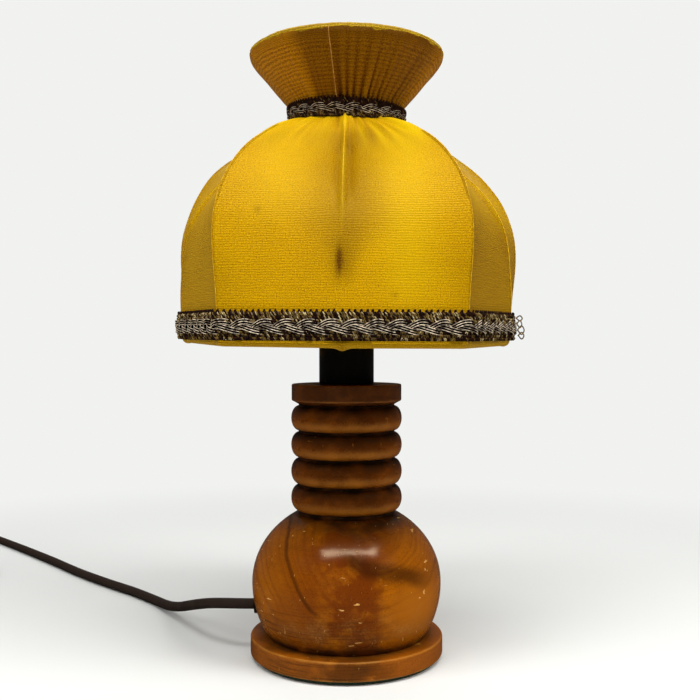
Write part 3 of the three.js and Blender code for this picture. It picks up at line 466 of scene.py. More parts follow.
# %% Helpers for cloth
def cloth(name, columns, rows, place_at, slot="shade_fabric", wall=0, wrap=False, inside_out=False):
    """Cloth from a flat grid; place_at gives a point, its place on the cut, its painted highlight, and its
    stains and painted shade.
    """
    shape = bmesh.new()
    bmesh.ops.create_grid(shape, x_segments=columns, y_segments=rows, size=1)
    layers = [shape.verts.layers.float.new(key) for key in ("seam", "stain")]
    cut = shape.loops.layers.uv.new("cut")
    for vert in shape.verts:
        a, b = round((vert.co.x + 1) / 2, 6), round((vert.co.y + 1) / 2, 6)
        place, on_cut, noted = place_at(a, b)
        for loop in vert.link_loops:
            loop[cut].uv = Vector(on_cut) * MM
        for layer, value in zip(layers, noted):
            vert[layer] = value
        vert.co = place * MM
    if wrap:
        bmesh.ops.remove_doubles(shape, verts=shape.verts, dist=2e-6)
    if inside_out:
        bmesh.ops.reverse_faces(shape, faces=shape.faces)
    piece = finish_mesh(name, shape, "shade", slot, sharp=0)
    if wall:
        solid = piece.modifiers.new("wall", "SOLIDIFY")
        solid.thickness = wall * MM
        solid.offset = -1
    return piece


def declare_cloth(piece):
    """The cut's own size comes from the UV map; the cloth was stretched on by a few per cent."""
    area = sum(face.area for face in piece.data.polygons)
    cut = [corner.uv for corner in piece.data.uv_layers["cut"].data]
    wide, high = (max(spot[axis] for spot in cut) - min(spot[axis] for spot in cut) for axis in (0, 1))
    wide = max(wide, area / high)
    print(piece.name, "was cut to", round(wide * 1000), "by", round(high * 1000), "mm")


print("cloth helpers ready")

# %% [markdown]
# The panels carry painted light and shade. Painted shade lies in the valley beside each middle seam, and the
# two side panels are painted darker than the front one. Under the waist the crests of the gathers carry a
# painted highlight and the dips between them painted shade.

# %% Dome panels
hem_share = 0.016


def panel_place(number):
    front = number == 0
    panel_shade = (0, 0.62, 0.1, 0.1, 0.42)[number]

    def place_at(a, b):
        share = hem_share + (1 - hem_share) * b
        place, to_middle, to_corner = dome_point(2 * number - 1 + 2 * a, share)
        side = 1 if a > 0.5 else -1
        valley = rise(place.z - 178, 14) * rise(266 - place.z, 12)
        valley *= near(to_middle, 1.5, 4 + 10 * rise(place.z - 185, 32))
        crest = gathers(math.atan2(place.y, place.x), place.z) * rise(place.z - 243, 16)
        upper = rise(place.z - 205, 20)
        # Painted shade: the side panels darker, most low down, and the dips between the gathers.
        stain = panel_shade * (1 - 0.7 * rise(place.z - 204, 32)) + 0.5 * max(-crest, 0)
        # Painted highlight: a line along the upper middle seam, and the crests of the gathers.
        seam = 0.6 * near(to_middle, 0, 0.8) * upper + 0.8 * max(crest, 0)
        if front:
            # Painted shade near the corners low down, and in the valley beside the seam.
            stain += 0.2 * near(to_corner, 0, 9) * rise(210 - place.z, 25)
            stain += (0.52 if side > 0 else 0.4) * valley
            # A darker mark beside the seam where the cloth is dented, and two small dark spots.
            stain += near(side * to_middle, -1.2, 1.5) * near(place.z, 193.5, 6)
            stain += 0.4 * near(place.x, -38.4, 1.3) * near(place.z, 216.4, 1.6)
            stain += 0.35 * near(place.x, 20.7, 1.4) * near(place.z, 179, 1.5)
            # A painted sheen in a wide band on each side of the seam, full height on the right and upper part
            # on the left.
            tall = 1 if side > 0 else 0.6 * upper
            seam += 0.34 * near(to_middle, 29, 13) * tall * rise(place.z - 160, 30)
        else:
            # Painted shade near the corners and in the valleys.
            stain += 0.06 * near(to_corner, 0, 8) + 0.1 * valley
        return place, (side * to_middle, share * rib_length), (seam, stain)
    return place_at


for number in range(5):
    panel = cloth(f"dome_cloth_{number + 1}", 96, 92, panel_place(number), wall=1)
    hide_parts(f"dome_panel_{number + 1}")
    declare_cloth(panel)

# %% [markdown]
# The seams over the wires catch the light as thin bright lines. A seam is a strand of thread laid
# on the ridge of the cloth, with its own thickness at each point: full near the waist, and nearly
# nothing where the cloth lies flat.

# %% Seams over the ribs
def strands(name, paths, radius, slot="shade_fabric", **settings):
    """Threads of the shade, from paths in millimetres."""
    in_metres = [[place * MM for place in path] for path in paths]
    piece = round_piece(name, in_metres, radius * MM, **settings)
    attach(piece, "shade")
    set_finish(piece, slot)
    return piece


def rib_line(rib, start=0.1, end=0.98, out=0.15, steps=60):
    path = []
    for i in range(steps + 1):
        place, _, _ = dome_point(rib, start + (end - start) * i / steps, 0)
        path.append(place + around(out, first_rib + rib * side_turn, 0))
    return path


corner_lines = [rib_line(rib, out=0.12) for rib in (1, 3, 5, 7, 9)]
strands("corner_seams", corner_lines, 0.22, thin=lambda t: 0.6 + 0.4 * rise(t - 0.3, 0.4))
strands("middle_seams", [rib_line(rib, out=0.05) for rib in (4, 6, 8)], 0.2)
strands("side_seam", [rib_line(2)], 0.26)
strands("front_seam", [rib_line(0, 0.36)], 0.26, thin=lambda t: 0.1 + 0.9 * rise(t, 0.35))
print("seams: one over each of ten ribs")

# %% [markdown]
# The collar flares from the waist to the rim. Its cloth is gathered under the waist trim, so it
# falls in fine pleats that die out towards the rim, deeper on one half than on the other. Between
# the ribs it is pulled a little flat, which makes the rim a soft ten-sided figure.

# %% Collar
collar_outline = smooth_outline([
    (28, 268.6), (28, 274), (29.4, 278.6), (33.3, 283.4), (38, 288.6), (42.5, 293.7), (47.6, 299),
    (49.2, 301.2), (49.6, 302.9),
])


def flattened(angle, amount=0.12):
    """How far a radius shrinks between two ribs where the cloth is pulled straight."""
    off = (angle - first_rib) % side_turn - side_turn / 2
    return 1 - amount * (1 - math.cos(side_turn / 2) / math.cos(off))


def pleats(angle, share):
    """Fine folds that rise from the waist, deepest on the right of the front."""
    off = (math.degrees(angle) + 62 + 180) % 360 - 180
    turn = around(1, angle, 0)
    deep = (0.25 + 0.75 * near(off, 0, 44)) * (0.8 + 0.9 * noise(turn * 6 + up_by(4)))
    fold = math.sin(58 * angle + 9 * noise(turn * 3) + 2 * noise(turn * 9 + up_by(share)))
    fold += 0.6 * noise(turn * 24 + up_by(share))
    return deep * fold * min((1.12 - share) ** 2, 1) * rise((1.03 - share) * 5)


def collar_surface(angle, share):
    far = share * (len(collar_outline) - 1)
    i = min(int(far), len(collar_outline) - 2)
    spot = collar_outline[i].lerp(collar_outline[i + 1], far - i)
    off = (angle - first_rib) % side_turn
    ridge = 0.4 * near(spot.x * min(off, side_turn - off), 0, 1.6) * rise((share - 0.3) * 4)
    radius = (spot.x + 0.9 * pleats(angle, share)) * flattened(angle) + ridge
    return around(radius, angle, spot.z + 1.5 * rise(share * 1.5 - 0.5))


def collar_place(a, b):
    angle = first_rib + math.tau * a
    fold = pleats(angle, b)
    turned = math.degrees(angle) % 360
    # Painted shade over the front right of the collar, near the top under the rim, and in the folds between
    # pleats; the pleats' crests carry a painted highlight.
    worn_and_shaded = 0.64 * rise(turned - 233, 14) * rise(352 - turned, 30) + 0.2 * rise((b - 0.75) * 5)
    noted = (0.8 * max(fold, 0), 0.9 * max(-fold, 0) + worn_and_shaded)
    return collar_surface(angle, b), (38 * math.tau * a, 40 * b), noted


collar = cloth("collar_cloth", 640, 40, collar_place, wall=0.6, wrap=True)
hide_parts("collar_cover")
declare_cloth(collar)

# %% [markdown]
# The rim is bound with a strip of the same cloth, rolled over the top wire. The collar's own seam
# is one thread that runs up the left of its front.

# %% Rim and collar seam
rim_radius, rim_height = 47.4, 304.5


def rim_place(a, b):
    angle, section = first_rib + math.tau * a, math.radians(180 - 240 * b)
    radius = 2.2 + 0.25 * noise(around(46.9, angle, 30 * b) / 3)
    middle = rim_radius * flattened(angle) + 0.3 * noise(around(46.9, angle, 0) / 9)
    height = rim_height + radius * math.sin(section)
    return around(middle + radius * math.cos(section), angle, height), (46 * math.tau * a, 10 * b), (0, 0)


rim = cloth("rim_cloth", 240, 14, rim_place, wall=0.8, wrap=True, inside_out=True)
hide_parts("rim_binding")
declare_cloth(rim)

collar_seam_angle = math.radians(-99.6)
above_cloth = around(0.4, collar_seam_angle, 0)
seam_path = [collar_surface(collar_seam_angle, 0.15 + 0.84 * i / 40) + above_cloth for i in range(41)]
strands("collar_seam", [seam_path], 0.21)
print("collar seam points:", len(seam_path))

# %% [markdown]
# At the hem the cloth is folded round the bottom wire, and shows as a narrow gold roll under the
# trim. Where a middle rib meets the wire the fold bulges, because the seam's spare cloth is there.

# %% Hem
band_count = 720
wire_height, wire_radius = 160, 1.45


def low_line(across):
    place, _, _ = dome_point(across, 0.03, 0)
    return Vector((place.x, place.y, 0))


raw = [low_line(10 * i / band_count) for i in range(band_count)]
hem_line = [sum((raw[(i + k) % band_count] for k in range(-3, 4)), Vector()) / 7 for i in range(band_count)]
hem_outs, hem_far = [], [0]
for i in range(band_count):
    along = hem_line[(i + 7) % band_count] - hem_line[i - 7]
    hem_outs.append(Vector((along.y, -along.x, 0)).normalized())
    hem_far.append(hem_far[-1] + (hem_line[(i + 1) % band_count] - hem_line[i]).length)
hem_length = hem_far[-1]
print("hem:", round(hem_length), "mm round")


def on_hem(along):
    """Place and outward direction at a distance round the hem."""
    along %= hem_length
    low = min(bisect_right(hem_far, along), band_count) - 1
    after = (low + 1) % band_count
    rest = (along - hem_far[low]) / (hem_far[low + 1] - hem_far[low])
    return hem_line[low].lerp(hem_line[after], rest), hem_outs[low].lerp(hem_outs[after], rest)


def bulge(across):
    """The fold is thickest over a middle rib, most of all in front."""
    return near((across + 1) % 2, 1, 0.05) * (1 if across < 1 or across > 9 else 0.3)


def hem_place(a, b):
    base, out = on_hem(hem_length * a)
    fold = bulge((math.atan2(base.y, base.x) - first_rib) / side_turn % 10)
    if b < 0.2:
        off, height = -0.1 + 0.2 * fold, wire_height + 3 - 15 * b
    elif b < 0.85:
        turn = math.pi * (b - 0.2) / 0.65
        roll = 2.6 + 1.2 * fold
        off, height = -2.9 + (roll + 0.2) * math.cos(turn), wire_height - roll * math.sin(turn)
    else:
        off, height = -5.6, wire_height + 30 * (b - 0.85)
    off += 0.25 * noise((base + up_by(height)) / 5)
    # The roll is darker than the dome, and more so where it bulges.
    return lean(base + out * off + up_by(height)), (hem_length * a, 16 * b), (0, 0.4 + 0.2 * fold)


hem = cloth("hem_cloth", 480, 20, hem_place, wrap=True)
wire_path = []
for i in range(240):
    base, out = on_hem(hem_length * i / 240)
    wire_path.append(lean(base - 3.4 * out + up_by(wire_height)))
bottom_wire = strands("bottom_wire", [wire_path], wire_radius, "shade_wire", closed=True, round_steps=3)
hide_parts("bottom_ring")
declare_cloth(hem)
print("hem done")

# %% [markdown]
# The trim is a woven braid called gimp, on a dark woven strip that is glued to the cloth. Its middle
# is a plait of three flat bundles that pass over and under each other. A bundle has five silky
# strands on the lower trim and three on the waist trim, and some of them are dark. On the real
# braid all these are threads, so here each is a thin curve set out along the band.

# %% Strip and plait of the trim
def band_strip(name, band_point, length, high, count, replaced):
    def place_at(a, b):
        rough = 0.18 * math.sin(length * a * math.tau / 1.3) * math.sin(b * 9)
        thick = 0.95 if 0 < b < 1 else 0.1
        return band_point(length * a, high * b, thick + rough), (length * a, high * b), (0, 0)
    strip = cloth(name, count, 10, place_at, "gimp_braid", wrap=True)
    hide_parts(replaced)


def plait(name, band_point, length, unit, waves, bright):
    """Three bundles of strands; waves is how often they cross on the way round."""
    steps = waves * 26
    silky, core = [], []
    for bundle in range(3):
        phase = math.tau * bundle / 3
        for strand in (-2, -1, 0, 1, 2) if bright else (-1.3, 0, 1.3):
            bright_one = strand % 2 == 0 if bright else strand != 0
            path = []
            for i in range(steps):
                turn = math.tau * waves * i / steps + phase
                level = (6 + 2.2 * math.sin(turn + 0.35 * math.sin(turn)) + 0.54 * strand) * unit
                out = 1.55 + 0.95 * math.sin(2 * turn) + (0.12 if bright_one else -0.3)
                path.append(band_point(length * i / steps, level, out * min(unit + 0.1, 1)))
            (silky if bright_one else core).append(path)
    strands(f"{name}_plait", silky, 0.18 * unit, "gimp_braid", closed=True, round_steps=2)
    strands(f"{name}_core", core, 0.44 * unit, "gimp_braid", closed=True)


print("plait ready")

# %% [markdown]
# Slanted stitches in three rows hold the plait above, three rows of tiny loops end the braid below,
# and a small loop stands up from its top edge at every third step. Noise picks the colour of each
# thread, so that gold, pale and wine red ones mix as on the old braid.

# %% Stitches and loops of the trim
def shake(x, y, z):
    return noise(Vector((x, y, z)))


def stitches(name, band_point, length, unit, bright):
    threads = {"gold": [], "pale": [], "dark": []}
    spacing = 0.85 * unit

    def sew(kind, *spots):
        threads[kind].append([band_point(along, level * unit, out) for along, level, out in spots])

    for i in range(int(length / spacing)):
        chance = shake(i * 2.3, 7, 1) + (0.3, -0.3, 0, 0.3, -0.3, 0.3, 0)[i % 7] * bright
        at = i * spacing + 0.5 * shake(i * 1.7, 0, 3)
        lift = 0.45 * shake(i * 0.9, 5, 0)
        for row, level in enumerate((7.7, 9.2, 10.7)):
            pick = shake(i * 2.9, row * 4.7, 6) + 0.5 * chance - 0.3 * (not bright)
            low, along = level + lift, at - 0.5 * row * unit
            sew(
                "gold" if pick > 0.12 else ("pale" if pick < -0.2 and bright else "dark"),
                (along + 1.5 * unit, low, 1), (along + unit, low + 0.8, 1.7 * unit),
                (along + 0.5 * unit, low + 1.5, 1),
            )
        for row, level in enumerate((0.2, 1.5, 2.9)):
            pick = shake(i * 3.7, row * 2.9, 11)
            start = at + 0.35 * row * spacing + 0.4 * shake(i * 1.3, row * 3.1, 9)
            swell = (1.3 + 0.7 * shake(i * 1.1, row * 5.3, 2)) * unit
            sew(
                "gold" if pick > 0.02 else ("pale" if pick < -0.28 else "dark"),
                (start, level + 0.2, 0.8), (start + 0.3, level + 1.1, swell),
                (start + 0.8, level + 0.9, swell), (start + 0.9, level, 0.9),
            )
        if i % 3 == 0:
            sew(
                "dark", (at - 0.3, 11.6, 0.9), (at + 0.1, 13, 1.3 * unit),
                (at + 0.5 * unit, 13.3, 1.2 * unit), (at + 0.8 * unit, 11.8, 0.9),
            )
    for kind, radius in (("gold", 0.3), ("pale", 0.27), ("dark", 0.4)):
        strands(f"{name}_{kind}_threads", threads[kind], radius * unit, "gimp_braid")
        print(name, kind, "threads:", len(threads[kind]))


low_high, waist_high, waist_radius = 13, 9.4, 31


def low_point(along, level, out):
    base, outward = on_hem(along)
    return lean(base + outward * (out + 0.95) + up_by(159.9 + level), 0.45)


def waist_point(along, level, out):
    angle = along / waist_radius
    radius = 28.5 + 0.014 * level * level + out * 0.8
    place = around(radius, first_rib + angle, 267.9 + level)
    lift = 2.4 * (1 - level / waist_high) * (place.x / radius) ** 2
    return place + up_by(lift - 0.034 * place.x)


waist_length = math.tau * waist_radius
low_unit, waist_unit = low_high / 13, waist_high / 13
band_strip("low_gimp", low_point, hem_length, 12.1, 480, "lower_gimp")
plait("low_gimp", low_point, hem_length, low_unit, 19, bright=True)
stitches("low_gimp", low_point, hem_length, low_unit, bright=True)
band_strip("waist_gimp_strip", waist_point, waist_length, 8.9, 220, "waist_gimp")
plait("waist_gimp", waist_point, waist_length, waist_unit, 7, bright=False)
stitches("waist_gimp", waist_point, waist_length, waist_unit, bright=False)

# %% [markdown]
# Where the trim's two ends meet on the right of the hem, its threads have come loose. Four small
# loops of thread stand off there.

# %% Loose threads
loop_sizes = [(2.4, 2.6, 162.4), (2.9, 3.4, 165.2), (2.1, 2.8, 168.3), (2.7, 2, 171.4)]
loose_paths = []
for i, (wide, high, base) in enumerate(loop_sizes):
    loop = [
        (-0.5, 0.6, 0), (wide * 0.6, 0.1, high * 0.7), (wide, -0.6, 0), (wide * 0.5, -1, -high * 0.6),
        (-0.4, -1.2, 0),
    ]
    middle = Vector((87.2, -7 + 2 * i, base))
    loose_paths.append(spline_through([middle + Vector(p) for p in loop], 5))
strands("loose_threads", loose_paths, 0.32, "gimp_braid", round_steps=2)
print("loose threads:", len(loose_paths))

# %% [markdown]
# Sums inside a shader are written as usual: each plus, minus or times adds one small node to the
# tree that the value comes from.

# %% Helpers for shader sums
def tone(red, green, blue):
    """A colour as it shows on a screen, turned into the shader's linear scale."""
    parts = [part / 255 for part in (red, green, blue)]
    return (*[p / 12.92 if p <= 0.04 else ((p + 0.055) / 1.055) ** 2.4 for p in parts], 1)


class Value:
    """A number, colour or place that a node puts out."""

    def __init__(self, socket):
        self.socket, self.tree = socket, socket.id_data

    def __add__(self, other):
        return calc("ADD", self, other)

    def __sub__(self, other):
        return calc("SUBTRACT", self, other)

    def __rsub__(self, other):
        return calc("SUBTRACT", other, self)

    def __mul__(self, other):
        return calc("MULTIPLY", self, other)

    def feed(self, socket):
        self.tree.links.new(self.socket, socket)


def named(sockets):
    return {socket.name: Value(socket) for socket in sockets}


def add(tree, kind, inputs, output=0, **settings):
    """One output of a new node; each input is a plain value or another node's Value."""
    node = tree.nodes.new("ShaderNode" + kind)
    for key, value in settings.items():
        setattr(node, key, value)
    for key, value in inputs.items():
        if isinstance(value, Value):
            value.feed(node.inputs[key])
        else:
            node.inputs[key].default_value = value
    return Value(node.outputs[output])


def calc(operation, *values):
    tree = next(value.tree for value in values if isinstance(value, Value))
    return add(tree, "Math", dict(enumerate(values)), operation=operation)


def clamped(value):
    """Keeps what the last sum gives between 0 and 1."""
    value.socket.node.use_clamp = True
    return value


def move(operation, place, other=None):
    """A sum with places; a scale takes a number, and a distance or length gives one."""
    inputs = {0: place}
    if other is not None:
        inputs[3 if operation == "SCALE" else 1] = other
    output = 1 if operation in ("DISTANCE", "LENGTH") else 0
    return add(place.tree, "VectorMath", inputs, output, operation=operation)


def step_up(value, low, high, least=0.0, most=1.0):
    """Goes smoothly from least to most while the value goes from low to high."""
    keys = {"Value": value, "From Min": low, "From Max": high, "To Min": least, "To Max": most}
    return add(value.tree, "MapRange", keys, interpolation_type="SMOOTHSTEP")


def dye(share, under, over):
    return add(share.tree, "Mix", {0: share, 6: under, 7: over}, 2, data_type="RGBA")


def grain(place, size, detail=3.0, rough=0.55):
    """Noise with features of about the given size in millimetres, from 0 to 1."""
    scaled = move("SCALE", place, 1 / size)
    return add(place.tree, "TexNoise", {"Vector": scaled, "Scale": 1.0, "Detail": detail, "Roughness": rough})


def millimetres(place):
    return move("SCALE", place, 1 / MM)


def split(place):
    """The three numbers of a place."""
    return named(add(place.tree, "SeparateXYZ", {0: place}).socket.node.outputs).values()


print("sums ready")

# %% [markdown]
# Every look is made of a few shared effects. An effect is a node group with named inputs, so the
# same wear or weave serves several materials with other colours and sizes.

# %% Helpers for effects and materials
looks = {}


def effect(name, inputs, outputs):
    """An empty node group; an input is named with its kind, or with the number it starts at."""
    tree = bpy.data.node_groups.new(name, "ShaderNodeTree")
    for label, start in inputs.items():
        kind = start if isinstance(start, str) else "Float"
        socket = tree.interface.new_socket(label, in_out="INPUT", socket_type="NodeSocket" + kind)
        if kind == "Float":
            socket.default_value = start
    for label in outputs:
        kind = "Color" if label == "Color" else "Float"
        tree.interface.new_socket(label, in_out="OUTPUT", socket_type="NodeSocket" + kind)
    return tree, named(tree.nodes.new("NodeGroupInput").outputs), tree.nodes.new("NodeGroupOutput").inputs


def apply_effect(shader, group, inputs):
    return named(add(shader.id_data, "Group", inputs, node_tree=group).socket.node.outputs)


def new_material(name, constants):
    looks[name] = mat = bpy.data.materials.new(name)
    mat.use_nodes = True
    shader = mat.node_tree.nodes["Principled BSDF"]
    for key, value in constants.items():
        shader.inputs[key].default_value = value
    return shader


def dress(shader, result, deep):
    """Feeds an effect's outputs into the shader; deep is the depth of the relief in millimetres."""
    result["Color"].feed(shader.inputs["Base Color"])
    if "Roughness" in result:
        result["Roughness"].feed(shader.inputs["Roughness"])
    keys = {"Strength": 1.0, "Distance": deep * MM, "Height": result["Height"]}
    add(shader.id_data, "Bump", keys).feed(shader.inputs["Normal"])


def own_place(shader):
    return add(shader.id_data, "TexCoord", {}, "Object")


def stored(shader, name):
    return add(shader.id_data, "Attribute", {}, "Fac", attribute_name=name)


print("effect helpers ready")

# %% [markdown]
# This effect is shared by every hard piece. Small flecks and worn crests show what lies under the surface in
# a lighter colour, which also serves as painted light on some edges. A darker colour lays dirt, and painted
# shade in grooves and where other parts shadow a piece. Both change the gloss.

# %% Wear, dirt, and painted light and shade
wear_light_shade_group, given, result = effect("surface_wear", {
    "Place": "Vector", "Base": "Color", "Bare": "Color", "Grime": "Color",
    "Wear": 0.0, "Dirt": 0.0, "Flecks": 0.5, "Gloss": 0.3,
}, ("Color", "Roughness", "Height"))
place = millimetres(given["Place"])
broad = grain(place, 9.0, 4.0)
fine = grain(place, 0.9, 2.0)
level_scratch = grain(move("MULTIPLY", place, (0.4, 0.4, 1.7)), 3.4)
upright_scratch = grain(move("MULTIPLY", place, (1.7, 0.9, 0.45)), 2.3)
fleck = step_up(calc("MAXIMUM", level_scratch, upright_scratch), 0.685, 0.715)
fleck = fleck * (given["Flecks"] * step_up(broad, 0.42, 0.6))
# Rubbed crests, together with painted light where the lighter value is high.
rubbed_and_lit = given["Wear"] + (fine - 0.5) * 0.6 + (broad - 0.62)
rubbed_and_lit = clamped(step_up(rubbed_and_lit, 0.05, 0.9) * given["Wear"])
# Dirt, together with painted shade where the darker value is high.
dirty_and_shaded = clamped(given["Dirt"] * step_up(broad, 0.25, 0.6, 0.45, 1.0))
shown = calc("MAXIMUM", rubbed_and_lit, fleck)
stained_and_shaded = dye(dirty_and_shaded, given["Base"], given["Grime"])
dye(shown, stained_and_shaded, given["Bare"]).feed(result["Color"])
clamped((shown + dirty_and_shaded) * 0.28 + given["Gloss"] + (broad - 0.5) * 0.16).feed(result["Roughness"])
(fine * 0.25 - shown).feed(result["Height"])
print("wear effect:", len(wear_light_shade_group.nodes), "nodes")

# %% [markdown]
# The wood's figure comes from its growth rings. The pith runs from front to back beside the middle,
# so the front shows arcs round it. Distance from the pith, bent by slow noise, drives irregular
# rings. Two stronger dark arcs and a few darker or paler patches are set where the real ball has
# them.

# %% Wood effect
wood_group, given, result = effect("wood_figure", {
    "Place": "Vector", "Pale": "Color", "Deep": "Color", "Line": "Color", "Arcs": 1.0, "Contrast": 1.0,
}, ("Color", "Height"))
place = millimetres(given["Place"])
slow = add(place.tree, "TexNoise", {"Vector": move("SCALE", place, 1 / 30), "Scale": 1.0, "Detail": 2.0}, 1)
bent = move("ADD", place, move("SCALE", move("SUBTRACT", slow, (0.5, 0.5, 0.5)), 9.0))
flat = move("MULTIPLY", bent, (1.0, 0.12, 1.0))
x, y, z = split(place)


def off_arc(middle, radius):
    """Distance from an arc of the figure, seen from the front."""
    return calc("ABSOLUTE", move("DISTANCE", flat, middle) - radius)


def patch(middle, inner, outer, amount):
    return step_up(move("DISTANCE", flat, middle), inner, outer, amount, 0.0) * given["Arcs"]


thin_arc = step_up(off_arc((8.0, 0.0, 62.0), 37.0), 0.2, 1.7, 0.75, 0.0) * step_up(x, -18.0, -10.0, 1.0, 0.0)
broad_arc = step_up(off_arc((42.0, 0.0, 114.0), 69.0), 1.0, 6.0, 1.0, 0.0) * step_up(x, -5.0, 4.0)
broad_arc = broad_arc * step_up(y, -8.0, 8.0, 1.0, 0.0) * step_up(x, 30.0, 43.0, 1.0, 0.3)
arcs = calc("MAXIMUM", thin_arc, broad_arc * 0.9) * given["Arcs"]
far = move("DISTANCE", flat, (17.0, 0.0, 67.0))
rings = add(place.tree, "TexNoise", {"W": far * 0.42, "Scale": 1.0, "Detail": 4.0, "Roughness": 0.6},
            noise_dimensions="1D")
dark = clamped(step_up(rings, 0.38, 0.7) * given["Contrast"]) * step_up(z, 12.0, 45.0, 0.4, 1.0)
aside = step_up(calc("ABSOLUTE", x - 1.0), 8.0, 30.0, 1.0, 0.2)
figure = dye(step_up(grain(place, 15.0, 5.0, 0.6), 0.34, 0.58) * aside, given["Pale"], given["Deep"])
dark_patches = patch((-16.0, 0.0, 46.0), 6.0, 26.0, 0.5) + patch((-27.0, 0.0, 27.0), 4.0, 19.0, 0.5)
figure = dye(dark_patches, figure, given["Deep"])
turned = step_up(grain(move("MULTIPLY", place, (0.04, 0.04, 1.0)), 0.8, 2.0), 0.45, 0.7)
turned = turned * step_up(z, 18.0, 40.0, 0.6, 0.12) * step_up(x, 0.0, 30.0, 1.0, 0.25)
figure = dye(turned, figure, given["Line"])
figure = dye(dark * 0.4, figure, given["Deep"])
figure = dye(step_up(grain(place, 0.7, 3.0, 0.7), 0.5, 0.72) * 0.45, figure, given["Line"])
pores = grain(move("MULTIPLY", place, (1.0, 0.15, 1.0)), 0.42, 1.0)
figure = dye(step_up(pores, 0.62, 0.75) * 0.5, figure, given["Line"])
figure = dye(patch((36.0, 0.0, 30.0), 6.0, 22.0, 0.8), figure, given["Pale"])
dye(arcs * 0.8, figure, given["Line"]).feed(result["Color"])
(1.0 - pores * 0.5).feed(result["Height"])
print("wood effect:", len(wood_group.nodes), "nodes")

# %% [markdown]
# The cloth effect reads the UV map of the cut, so that the weave follows each piece of cloth. It has fine
# horizontal ribs, thinner threads across them, and slubs: short thick or pale bits of weft. Stored values on
# each piece add a painted highlight, and stains with painted shade.

# %% Cloth effect
cloth_group, given, result = effect("woven_cloth", {
    "Cut": "Vector", "Place": "Vector", "Thread": "Color", "Shade": "Color", "Light": "Color",
    "Soil": "Color", "Seam": 0.0, "Stain": 0.0, "Rib pitch": 1.1, "Ribbing": 0.1, "Contrast": 1.0,
}, ("Color", "Roughness", "Height"))
cut = millimetres(given["Cut"])
u, v, _ = split(cut)
warp_pitch = 0.5


def wave(turns):
    """Goes from 0 to 1 and back with each turn."""
    return calc("SINE", turns * math.tau) * 0.5 + 0.5


wobble = grain(move("MULTIPLY", cut, (0.3, 1.0, 1.0)), 3.0, 2.0)
rib = wave(calc("DIVIDE", v, given["Rib pitch"]) + wobble * 1.3)
warp = wave(u * (1 / warp_pitch))
slub = grain(move("MULTIPLY", cut, (0.7, 1.2, 1.0)), 0.45, 2.0, 0.7)
slow = grain(millimetres(given["Place"]), 30.0)
shaded = step_up(slub, 0.46, 0.66) * 0.6 + (1.0 - rib) * given["Ribbing"] + step_up(slow, 0.35, 0.7) * 0.1
shaded = clamped(shaded * given["Contrast"])
# The painted highlight mixes towards the light colour, like the pale slubs.
bright = clamped(calc("MAXIMUM", step_up(slub, 0.44, 0.3) * 0.7, given["Seam"] * 0.75))
color = dye(bright, dye(shaded, given["Thread"], given["Shade"]), given["Light"])
# Stains and painted shade mix towards the dark colour.
soiled_and_shaded = clamped(given["Stain"] * step_up(grain(cut, 0.55, 1.0), 0.3, 0.6, 0.6, 1.0))
dye(soiled_and_shaded, color, given["Soil"]).feed(result["Color"])
(shaded * 0.22 + 0.4).feed(result["Roughness"])
(rib * 0.55 + warp * 0.12 + slub * 0.5).feed(result["Height"])
print("cloth effect:", len(cloth_group.nodes), "nodes")

# %% [markdown]
# Materials of the hard pieces. The ball has the full figure. The turned column and disc are a darker brown,
# and their lighter colour shows both rubbed crests and painted light on the lower edges of the beads.

# %% Hard materials
def worn_and_shaded(shader, base, bare_and_lit, grime_and_shade, wear, dirt, flecks, gloss, deep):
    dress(shader, apply_effect(shader, wear_light_shade_group, {
        "Place": own_place(shader), "Base": base, "Bare": tone(*bare_and_lit), "Grime": tone(*grime_and_shade),
        "Wear": wear, "Dirt": dirt, "Flecks": flecks, "Gloss": gloss,
    }), deep)


def wooden(name, pale, deep, line, bare_and_lit, grime_and_shade, arcs=0.0, flecks=1.0, gloss=0.3, shine=0.25):
    shader = new_material(name, {"Specular Tint": (1, 0.76, 0.5, 1), "Specular IOR Level": shine})
    figure = apply_effect(shader, wood_group, {
        "Place": own_place(shader), "Pale": tone(*pale), "Deep": tone(*deep), "Line": tone(*line),
        "Arcs": arcs,
    })
    wear, dirt = stored(shader, "wear"), stored(shader, "dirt")
    worn_and_shaded(shader, figure["Color"], bare_and_lit, grime_and_shade, wear, dirt, flecks, gloss, 0.08)


def hard(name, base, bare_and_lit, grime_and_shade, flecks, gloss, wear=0.0, deep=0.05, **constants):
    shader = new_material(name, {key.replace("_", " "): value for key, value in constants.items()})
    worn_and_shaded(shader, tone(*base), bare_and_lit, grime_and_shade, wear, 0.35, flecks, gloss, deep)


wooden(
    "ball_varnish", (166, 92, 4), (110, 48, 4), (46, 17, 2), (222, 166, 80), (40, 17, 2),
    arcs=1.0, gloss=0.16, shine=0.5,
)
wooden(
    "foot_varnish", (156, 82, 6), (104, 52, 4), (40, 18, 3), (180, 120, 44), (52, 34, 10),
    flecks=0.9, gloss=0.36,
)
wooden(
    "turned_varnish", (124, 62, 4), (84, 38, 2), (32, 13, 2), (150, 88, 16), (22, 9, 2),
    flecks=0.6, gloss=0.24, shine=0.2,
)
wooden(
    "disc_varnish", (126, 64, 7), (86, 38, 4), (36, 15, 2), (164, 100, 32), (30, 14, 3), flecks=0.5,
)
hard("bakelite", (6, 6, 5), (56, 50, 42), (26, 23, 20), 0.3, 0.3, 0.08, Specular_IOR_Level=0.1)
hard("steel", (186, 186, 184), (215, 215, 212), (110, 104, 96), 0.4, 0.32, Metallic=1.0)
hard("brass", (214, 178, 96), (236, 210, 140), (120, 84, 34), 0.4, 0.3, Metallic=1.0)
hard("copper", (206, 138, 100), (228, 168, 130), (96, 52, 34), 0.3, 0.34, Metallic=1.0)
